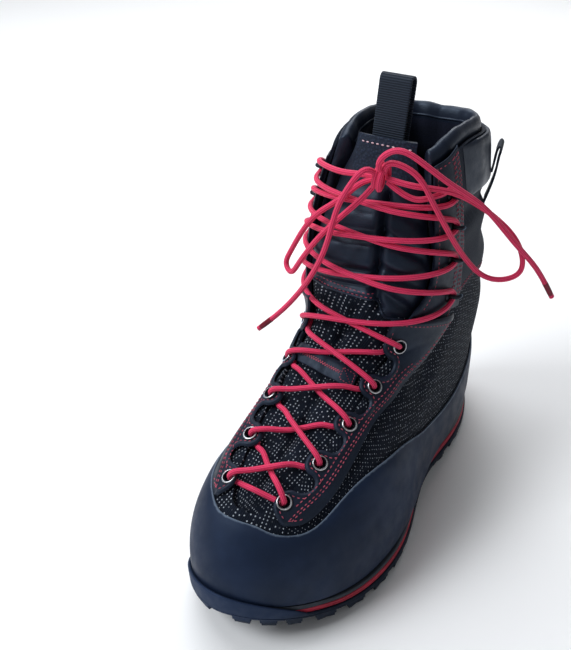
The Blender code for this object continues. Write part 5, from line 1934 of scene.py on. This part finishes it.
def lathe(profile, spot, normal, bright=(0, 0), segments=28):
    """Turned shape on a spot of the boot, its profile running from its first ring to its last."""
    radius, height = np.array(profile, float).T
    spin = np.linspace(0, 2 * np.pi, segments + 1)
    frame_turn = np.array(Vector(normal).to_track_quat("Z", "Y").to_matrix())
    local = np.stack([
        np.cos(spin)[:, None] * radius, np.sin(spin)[:, None] * radius, height + 0 * spin[:, None]], axis=-1)
    points = np.asarray(spot) + local @ frame_turn.T
    rings = np.arange(len(profile))
    bands = ((rings >= bright[0]) & (rings < bright[1])).astype(int)
    bm = grid_bmesh(points, grid_uv(points), bands)
    join_seams(bm)
    bmesh.ops.recalc_face_normals(bm, faces=bm.faces)
    return bm


def fitting(side, number):
    """Place up the front and turn of one eyelet or hook."""
    up, medial, lateral = LACING[number]
    return up, lateral if side > 0 else medial


def fitting_nodes(kind, count):
    """Names of the part's eyelets or hooks, lateral ones first."""
    return [f"{kind}_{side}_{number}" for side in ("lateral", "medial") for number in range(1, count + 1)]


def build_eyelets():
    """Rolled black rings with a bright barrel, set in the eyestays."""
    bm = bmesh.new()
    for side in (1, -1):
        for spot in eyelet_spots(side):
            add_bmesh(bm, lathe(EYELET_RING, spot, normals(spot[None])[0], EYELET_BRIGHT))
    nodes = fitting_nodes("eyelet", EYELETS)
    settle(new_piece("eyelet_rings", bm, ["black metal", "bright metal"], nodes), 70)


def build_hooks():
    """Hooks up the shaft, each a riveted plate with a wire bent back from the throat."""
    bm = bmesh.new()
    for side in (1, -1):
        for number in range(EYELETS, len(LACING)):
            up, turn = fitting(side, number)
            back, off = np.array(HOOK_PATH).T
            path = rounded_path(front_surface(np.full(len(back), up), side * (turn + back), off), 0.8)
            thin = HOOK_WIRE * (1 - 0.35 * ease(np.linspace(0, 1, len(path)), 0.85, 1.0))
            add_bmesh(bm, tube_bmesh(path, thin, ROUND_SIDES))
            spot = front_surface(up, side * (turn + 1.0), FACING_LEVEL)
            add_bmesh(bm, lathe(HOOK_PLATE, spot, normals(spot[None])[0]))
    nodes = fitting_nodes("hook", len(LACING) - EYELETS)
    settle(new_piece("lace_hooks", bm, ["black metal"], nodes), 60)


# Lacing

LACE_RADIUS = 1.65
LACE_SPACING = 1.7
LACE_UNDER = -0.6
CROSS_OVER = 4.8
CROSS_UNDER = 0.9
OVER_RING = 5.6
ROUND_HOOK = (  # up from the hook, turn back, off the last
    (-4.5, -5.0, 4.2),
    (-3.0, 0.5, 3.9),
    (0.0, 4.2, 3.8),
    (3.0, 0.5, 3.9),
    (4.5, -5.0, 4.4),
)
AGLET = 12.0
SHAFT_OVER = 4.9
SHAFT_UNDER = 2.6
CROSS_SHARES = (0.36, 0.5, 0.64)
KNOT_SPIN = (-60, 560)
KNOT_REACH = (4.4, 6.8)
KNOT_DRIFT = 2.4
BOW_START = 3.5


def raise_to(point, level):
    """The point moved off or on to the surface that lies level outside the last."""
    point = np.asarray(point, float)
    normal = normals(point[None])[0]
    return point + normal * (level - boot_form(point[None])[0])


def finger_turn(side, number):
    """Turn to the tip of an eyelet's finger."""
    return fitting(side, number)[1] - FINGER_REACH[number]


def leave_fitting(side, number, toward=None):
    """Lace rising through an eyelet towards a place, or round a hook: up the front, turn and level."""
    up, turn = fitting(side, number)
    if number >= EYELETS:
        return [(up + rise, side * (turn + back), level) for rise, back, level in ROUND_HOOK]
    climb = (toward[0] - up) / (side * toward[1] - turn)
    start = [(up, side * (turn - 2.5), LACE_UNDER), (up, side * (turn + 0.2), 1.6)]
    steps = ((-2.4, 4.9), (-6.0, OVER_RING), (-11.0, OVER_RING - 0.6))
    return start + [(up + climb * back, side * (turn + back), level) for back, level in steps]


def reach_fitting(side, number):
    """Lace dipping under the finger of the eyelet that it comes to."""
    if number >= EYELETS:
        return []
    up = fitting(side, number)[0]
    tip = finger_turn(side, number)
    return [(up - 6.5, side * (tip - 3.0), 0.9), (up - 4.0, side * (tip + 3.5), LACE_UNDER)]


def strand_route(side):
    """Route of the strand that starts at one side's lowest eyelet and ends at the knot."""
    places = []
    for number in range(len(LACING) - 1):
        over = (number + (side > 0)) % 2 == 0
        reach = reach_fitting(-side, number + 1)
        after = (reach or leave_fitting(-side, number + 1))[0]
        leave = leave_fitting(side, number, after)
        start, end = np.array(leave[-1][:2]), np.array(after[:2])
        level = CROSS_OVER if over else CROSS_UNDER
        if number >= EYELETS - 1:
            level = SHAFT_OVER if over else SHAFT_UNDER
        middle = [(*(start + (end - start) * share), level) for share in CROSS_SHARES]
        places += [*leave, *middle, *reach]
        side = -side
    places += leave_fitting(side, len(LACING) - 1)
    up, turn, level = np.array(places).T
    last = front_surface(up[-1], turn[-1], level[-1])
    away = np.array(LACE_TO_KNOT[0 if side > 0 else 1], float)
    rest = [raise_to(last + (away[0] - last) * share, 2 * LACE_CROSS) for share in (0.33, 0.66)]
    inside = away[-1] + (np.array(KNOT) - away[-1]) * 0.7
    return np.vstack([front_surface(up, turn, level), rest, away, inside])


def build_lacing():
    """Lace through the eyelets and round the hooks, from the knot down to the toe and back up to it."""
    lateral, medial = strand_route(1), strand_route(-1)
    low = front_surface(LACING[0][0] - 1.0, 0.0, CROSS_UNDER)
    path = rounded_path(np.vstack([medial[::-1], low, lateral]), LACE_SPACING)
    bm = tube_bmesh(path, LACE_RADIUS, ROUND_SIDES)
    settle(new_piece("lace_through_eyelets", bm, ["lace"], ["lace_bars"]), 70)


def knot_turns():
    """Two turns of lace wrapped about the middle of the bow."""
    spin = np.radians(np.linspace(*KNOT_SPIN, 80))
    outward = np.array([0.1, -0.93, 0.35])
    upward = np.array([0.05, 0.35, 0.93])
    across = np.array([1.0, 0.08, -0.12])
    drift = np.linspace(-KNOT_DRIFT, KNOT_DRIFT, len(spin))
    out = (KNOT_REACH[0] * np.cos(spin))[:, None]
    rise = (KNOT_REACH[1] * np.sin(spin))[:, None]
    return np.array(KNOT) + outward * out + upward * rise + across * drift[:, None]


def build_bow():
    """Knot over the tongue, with the two loops and the two tagged ends that leave it."""
    knot_path = along_line(knot_turns(), np.arange(0, lengths(knot_turns())[-1], 1.3))
    bm = tube_bmesh(knot_path, LACE_RADIUS, ROUND_SIDES)
    settle(new_piece("lace_knot_turns", bm, ["lace"], ["lace_knot"]), 70)
    centre = np.array(KNOT)
    for name, rows in (LACE_LOOPS | LACE_ENDS).items():
        rows = np.array(rows, float)
        begin = centre + unit_rows(rows[0] - centre) * BOW_START
        route = np.vstack([begin, rows])
        if name in LACE_LOOPS:
            route = np.vstack([route, centre + unit_rows(rows[-1] - centre) * BOW_START])
        path = rounded_path(route, LACE_SPACING)
        bm = tube_bmesh(path, LACE_RADIUS, ROUND_SIDES)
        piece = new_piece(name.replace("lace_", "bow_"), bm, ["lace"], [name])
        settle(piece, 70)
        with_pieces = []
        if name in LACE_ENDS:
            run = lengths(path)
            tag_path = along_line(path, np.linspace(run[-1] - AGLET, run[-1], 12))
            bm = tube_bmesh(tag_path, LACE_RADIUS + 0.15 - 0.5 * np.linspace(0, 1, 12) ** 6, ROUND_SIDES)
            tag = new_piece(name.replace("lace_end", "aglet"), bm, ["aglet"])
            with_pieces = [settle(tag, 70)]


# Stitching

DEGREES_PER_MM = math.degrees(1 / FRONT_RADIUS)
SEAM_INSETS = (2.0, 3.5)
BORDER_INSETS = (0.0, 1.6)
FINGER_INSET = 3.2
INNER_INSET = 4.8
STITCH_OFF = 0.05
FINGER_ROW_UP = (9, 130)
INNER_ROW_UP = (13, 118)
TOP_ROW_UP = 134.0
SEAM_ALONG = (0.37, 1.0)
FACING_ROWS = (1 - 1.8 / 30, 1 - 4.0 / 30, 0.68, 0.74, 0.1)  # shares out from the throat
FACING_RISE = (0.03, 0.985)
FACING_TOP_ROW = 0.97
FACING_TOP_SHARE = (0.12, 0.92)
TONGUE_ROWS = (1.0, 3.2)
TONGUE_ROW_TURN = (-38, 19)
PATCH_ROW_TURN = (-24, 27)
PATCH_ROW_IN = 3.6
STRAP_BOX = (  # share along the strap, share across it, in the order of sewing
    (0.82, -0.3), (0.97, -0.3), (0.82, 0.3), (0.97, 0.3), (0.97, -0.3), (0.82, 0.3), (0.82, -0.3),
)


def sew(bm, path, length, gap, radius):
    """Row of stitches along a path on the boot."""
    run = lengths(path)
    count = max(int(run[-1] / (length + gap)), 1)
    middles = (np.arange(count) + 0.5) * run[-1] / count
    spot = along_line(path, middles)
    heading = unit_rows(along_line(path, middles + 0.6) - along_line(path, middles - 0.6))
    normal = normals(spot)
    side = unit_rows(np.cross(normal, heading))
    normal = np.cross(heading, side)
    row = bmesh.new()
    for place, ahead, aside, out in zip(spot, heading, side, normal):
        matrix = Matrix((ahead * length / 2, aside * radius, out * radius * 0.8)).transposed().to_4x4()
        matrix.translation = place * MM
        bmesh.ops.create_uvsphere(row, u_segments=6, v_segments=4, radius=MM, matrix=matrix)
    add_bmesh(bm, row)


def eyestay_rows(side):
    """Rows sewn on one eyestay: round its fingers, outside its notches, and twice along its border."""
    double = smooth(EYESTAY_ROW, side_column(side))
    fine = np.linspace(EYESTAY_FACE[0][0], FINGER_ROW_UP[1], 500)
    toe = np.linspace(FINGER_ROW_UP[0], EYESTAY_FACE[0][0], 40)[:-1]
    edge = np.vstack([
        np.column_stack([toe, arc(eyestay_border(side, toe))]),
        np.column_stack([fine, arc(eyestay_edge(side, fine))]),
    ])
    ahead = unit_rows(np.gradient(edge, axis=0))
    inside = edge + np.column_stack([-ahead[:, 1], ahead[:, 0]]) * FINGER_INSET
    limit = double(inside[:, 0]) - (INNER_INSET - 0.8) * DEGREES_PER_MM
    within = (inside[:, 1] * DEGREES_PER_MM < limit) | (inside[:, 0] < 12)
    clear = (line_distance(inside, edge) > FINGER_INSET - 0.1) & within
    rows = [
        (part[:, 0], part[:, 1] * DEGREES_PER_MM)
        for part in np.split(inside, np.flatnonzero(np.diff(clear.astype(int))) + 1)
        if len(part) > 6 and clear[np.abs(inside - part[3]).sum(axis=1).argmin()]
    ]
    up = np.linspace(*INNER_ROW_UP, 120)
    rows.append((up, double(up) - INNER_INSET * DEGREES_PER_MM))
    up = np.linspace(EYESTAY_ROW[0][0], EYESTAY_FACE[-1][0] - 2, 160)
    for inset in BORDER_INSETS:
        rows.append((up, double(up) - inset * DEGREES_PER_MM))
    turn = np.linspace(eyestay_edge(side, TOP_ROW_UP) + 3, eyestay_border(side, TOP_ROW_UP) - 6, 60)
    rows.append((np.full(60, TOP_ROW_UP + 0.2), turn))
    return rows


def build_stitching():
    """Red stitches of the eyestays, seams and facings, and pale ones on the tongue's patch."""
    sizes = bpy.context.scene.boot_sizes
    length, gap, radius = sizes.stitch / MM, sizes.stitch_gap / MM, sizes.thread / MM
    bm = bmesh.new()
    for side in (1, -1):
        for up, turn in eyestay_rows(side):
            level = eyestay_level(side, up, turn) + STITCH_OFF
            sew(bm, front_surface(up, side * turn, level), length, gap, radius)
        along = np.linspace(*SEAM_ALONG, 120)
        for inset in SEAM_INSETS:
            path = panel_points(side, along, border_in(along) - inset, 0.0)
            off = ANKLE_STEP * ease(along, *ANKLE_FROM) - crease_drop(path) + STITCH_OFF
            path = path + normals(path) * off[:, None]
            sew(bm, path, length, gap, radius)
        rise = np.linspace(*FACING_RISE, 120)
        for share in FACING_ROWS:
            path = shaft_facing(side, np.full(120, share), rise, FACING_LEVEL + 0.1)
            sew(bm, path, length, gap, radius)
        share = np.linspace(*FACING_TOP_SHARE, 40)
        path = shaft_facing(side, share, np.full(40, FACING_TOP_ROW), FACING_LEVEL + 0.1)
        sew(bm, path, length, gap, radius)
    turn = np.linspace(*TONGUE_ROW_TURN, 60)
    for above in TONGUE_ROWS:
        up = np.full(60, TONGUE_LEATHER_FROM + above)
        sew(bm, front_surface(up, turn, tongue_level(up, turn) + 0.1), length, gap, radius)
    share = np.linspace(0, 0.8, 51)
    zigzag = strap_points(share, 0.07 * (-1.0) ** np.arange(51), STRAP_LEVEL + STITCH_OFF)
    sew(bm, zigzag, 1.3, 0.0, radius)
    for start, end in zip(STRAP_BOX[:-1], STRAP_BOX[1:]):
        share, across = np.linspace(start, end, 12).T
        sew(bm, strap_points(share, across, STRAP_LEVEL + STITCH_OFF), 1.2, 0.5, radius * 0.8)
    new_piece("red_stitches", bm, ["thread"])
    bm = bmesh.new()
    turn = np.linspace(*PATCH_ROW_TURN, 60)
    up = np.full(60, TONGUE_TOP - PATCH_ROW_IN)
    sew(bm, front_surface(up, turn, tongue_level(up, turn) + 0.3), 2.0, 1.1, radius * 1.2)
    new_piece("pale_stitches", bm, ["pale thread"])


# Stage

IMAGE = (571, 650)
CAMERA = {  # degrees, millimetres, pixels
    "azimuth": 29.41, "elevation": 37.03, "distance": 519.0, "target": (0.0, 0.0, 93.15),
    "focal": 812.0, "centre": (356.45, 377.73),
}
LIGHTS = (  # name, place in metres, size, watts, colour
    ("key", (-1.0, -1.0, 1.5), 0.9, 26.0, (0.94, 0.97, 1.0)),
    ("fill", (1.3, -0.7, 0.9), 1.0, 0.6, (0.92, 0.95, 1.0)),
    ("top", (-0.7, 0.4, 1.6), 1.2, 16.0, (0.95, 0.97, 1.0)),
    ("rim", (-0.4, 1.3, 0.9), 0.8, 3.0, (1.0, 1.0, 1.0)),
    ("back", (-0.9, 1.7, 1.8), 1.8, 16.0, (1.0, 1.0, 1.0)),
)
DAYLIGHT = 0.20


def build_stage():
    """Pale floor, soft lights and the camera at the photograph's angle."""
    bm = bmesh.new()
    bmesh.ops.create_grid(bm, x_segments=8, y_segments=8, size=6.0)
    mesh = bpy.data.meshes.new("floor")
    bm.to_mesh(mesh)
    bm.free()
    mesh.materials.append(finish("floor paper"))
    floor = bpy.data.objects.new("floor", mesh)
    bpy.context.scene.collection.objects.link(floor)
    for name, place, size, watts, colour in LIGHTS:
        light = bpy.data.lights.new(name, "AREA")
        light.size = size
        light.energy = watts
        light.color = colour
        lamp = bpy.data.objects.new(name, light)
        lamp.location = place
        lamp.rotation_euler = (Vector((0, 0, 0.1)) - Vector(place)).to_track_quat("-Z", "Y").to_euler()
        bpy.context.scene.collection.objects.link(lamp)
    world = bpy.data.worlds.new("studio")
    world.use_nodes = True
    background = world.node_tree.nodes["Background"]
    background.inputs["Color"].default_value = (0.95, 0.97, 1.0, 1.0)
    background.inputs["Strength"].default_value = DAYLIGHT
    bpy.context.scene.world = world
    bpy.context.scene.view_settings.view_transform = "Standard"
    place_camera()


def place_camera():
    """Camera with the place, lens and shift read from the photograph."""
    azimuth, elevation = math.radians(CAMERA["azimuth"]), math.radians(CAMERA["elevation"])
    level = math.cos(elevation)
    back = Vector((math.sin(azimuth) * level, -math.cos(azimuth) * level, math.sin(elevation)))
    data = bpy.data.cameras.new("camera")
    data.sensor_fit = "HORIZONTAL"
    data.lens = CAMERA["focal"] / IMAGE[0] * data.sensor_width
    data.shift_x = (IMAGE[0] / 2 - CAMERA["centre"][0]) / IMAGE[0]
    data.shift_y = (CAMERA["centre"][1] - IMAGE[1] / 2) / IMAGE[0]
    data.clip_start = 0.01
    camera = bpy.data.objects.new("camera", data)
    camera.location = Vector(CAMERA["target"]) * MM + back * CAMERA["distance"] * MM
    camera.rotation_euler = back.to_track_quat("Z", "Y").to_euler()
    bpy.context.scene.collection.objects.link(camera)
    bpy.context.scene.camera = camera


# Add-on


class BootSizes(bpy.types.PropertyGroup):
    """Sizes of the sewing that a user would change"""

    stitch: FloatProperty(name="Stitch", description="Length of one stitch", default=0.0019, unit="LENGTH")
    stitch_gap: FloatProperty(name="Gap", description="Gap between stitches", default=0.0010, unit="LENGTH")
    thread: FloatProperty(name="Thread", description="Radius of the thread", default=0.00036, unit="LENGTH")


def colour_property(name, description, default):
    """Colour that the panel shows."""
    return FloatVectorProperty(name=name, description=description, default=default, size=3, subtype="COLOR",
                               min=0.0, max=1.0)


class BootColours(bpy.types.PropertyGroup):
    """Colours of the boot's finishes"""

    cloth: colour_property("Cloth", "Dark woven cloth of the sides", (0.006, 0.009, 0.018))
    dots: colour_property("Dots", "Pale dots in the cloth", (0.50, 0.55, 0.62))
    leather: colour_property("Leather", "Facings, cuff and tongue", (0.006, 0.009, 0.019))
    rand: colour_property("Rand", "Rubber toe cap and sides", (0.010, 0.018, 0.043))
    edge: colour_property("Rubbed edge", "Upper edge of the rand", (0.10, 0.13, 0.18))
    outsole: colour_property("Outsole", "Rubber of the sole", (0.008, 0.012, 0.023))
    midsole: colour_property("Midsole", "Red foam layer", (0.36, 0.012, 0.030))
    wedge: colour_property("Wedge", "Grey foam layer", (0.022, 0.024, 0.030))
    lining: colour_property("Lining", "Inside of the boot", (0.010, 0.012, 0.026))
    webbing: colour_property("Webbing", "Pull loops", (0.013, 0.017, 0.027))
    lace: colour_property("Lace", "High ribs of the lace", (0.86, 0.045, 0.145))
    # painted shade in the valleys between the lace's ribs
    lace_valley_shade: colour_property("Lace shade", "Valleys of the lace", (0.50, 0.012, 0.055))
    thread: colour_property("Thread", "Red sewing thread", (0.50, 0.085, 0.13))
    metal: colour_property("Metal", "Blackened eyelets and hooks", (0.022, 0.023, 0.027))
    aglet: colour_property("Tags", "Tips of the lace ends", (0.20, 0.006, 0.018))
    floor: colour_property("Floor", "Paper under the boot", (0.96, 0.96, 0.96))


class BOOT_OT_sole(bpy.types.Operator):
    """Outsole with its lugs, red midsole, grey wedge and insole"""

    bl_idname = "boot.sole"
    bl_label = "Sole"

    def execute(self, context):
        build_outsole()
        build_midsoles()
        build_insole()
        return {"FINISHED"}


class BOOT_OT_upper(bpy.types.Operator):
    """Hollow upper with its cloth and ankle panel"""

    bl_idname = "boot.upper"
    bl_label = "Upper"

    def execute(self, context):
        build_upper()
        return {"FINISHED"}


class BOOT_OT_rand(bpy.types.Operator):
    """Rubber rand and toe cap"""

    bl_idname = "boot.rand"
    bl_label = "Rand"

    def execute(self, context):
        build_rand()
        return {"FINISHED"}


class BOOT_OT_eyestays(bpy.types.Operator):
    """Leather facings and eyestays with their eyelets and hooks"""

    bl_idname = "boot.eyestays"
    bl_label = "Eyestays"

    def execute(self, context):
        build_shaft_facings()
        build_eyestays()
        build_eyelets()
        build_hooks()
        return {"FINISHED"}


class BOOT_OT_tongue(bpy.types.Operator):
    """Padded tongue and the strap across it"""

    bl_idname = "boot.tongue"
    bl_label = "Tongue"

    def execute(self, context):
        build_tongue()
        build_strap()
        return {"FINISHED"}


class BOOT_OT_collar(bpy.types.Operator):
    """Padded cuff, lined roll and pull loops"""

    bl_idname = "boot.collar"
    bl_label = "Collar"

    def execute(self, context):
        build_collar()
        build_loops()
        return {"FINISHED"}


class BOOT_OT_lacing(bpy.types.Operator):
    """Lace through the eyelets and hooks, tied in a bow"""

    bl_idname = "boot.lacing"
    bl_label = "Lacing"

    def execute(self, context):
        build_bow()
        build_lacing()
        return {"FINISHED"}


class BOOT_OT_stitching(bpy.types.Operator):
    """Stitch rows of the panels"""

    bl_idname = "boot.stitching"
    bl_label = "Stitching"

    def execute(self, context):
        build_stitching()
        return {"FINISHED"}


class BOOT_OT_stage(bpy.types.Operator):
    """Floor, lights and camera"""

    bl_idname = "boot.stage"
    bl_label = "Stage"

    def execute(self, context):
        build_stage()
        return {"FINISHED"}


STEPS = (BOOT_OT_stage, BOOT_OT_lacing, BOOT_OT_sole, BOOT_OT_upper, BOOT_OT_rand, BOOT_OT_eyestays,
         BOOT_OT_tongue, BOOT_OT_collar, BOOT_OT_stitching)


class VIEW3D_PT_boot(bpy.types.Panel):
    """Lists the boot's sizes, colours and building steps"""

    bl_label = "Boot"
    bl_space_type = "VIEW_3D"
    bl_region_type = "UI"
    bl_category = "Boot"

    def draw(self, context):
        for step in STEPS:
            self.layout.operator(step.bl_idname)
        for group in (context.scene.boot_sizes, context.scene.boot_colours):
            for name in group.__annotations__:
                self.layout.prop(group, name)


CLASSES = (BootSizes, BootColours, *STEPS, VIEW3D_PT_boot)


def register():
    for item in CLASSES:
        bpy.utils.register_class(item)
    bpy.types.Scene.boot_sizes = PointerProperty(type=BootSizes)
    bpy.types.Scene.boot_colours = PointerProperty(type=BootColours)


def unregister():
    del bpy.types.Scene.boot_colours
    del bpy.types.Scene.boot_sizes
    for item in reversed(CLASSES):
        bpy.utils.unregister_class(item)


def main():
    register()
    for step in STEPS:
        group, name = step.bl_idname.split(".")
        getattr(getattr(bpy.ops, group), name)()


if __name__ == "__main__":
    main()
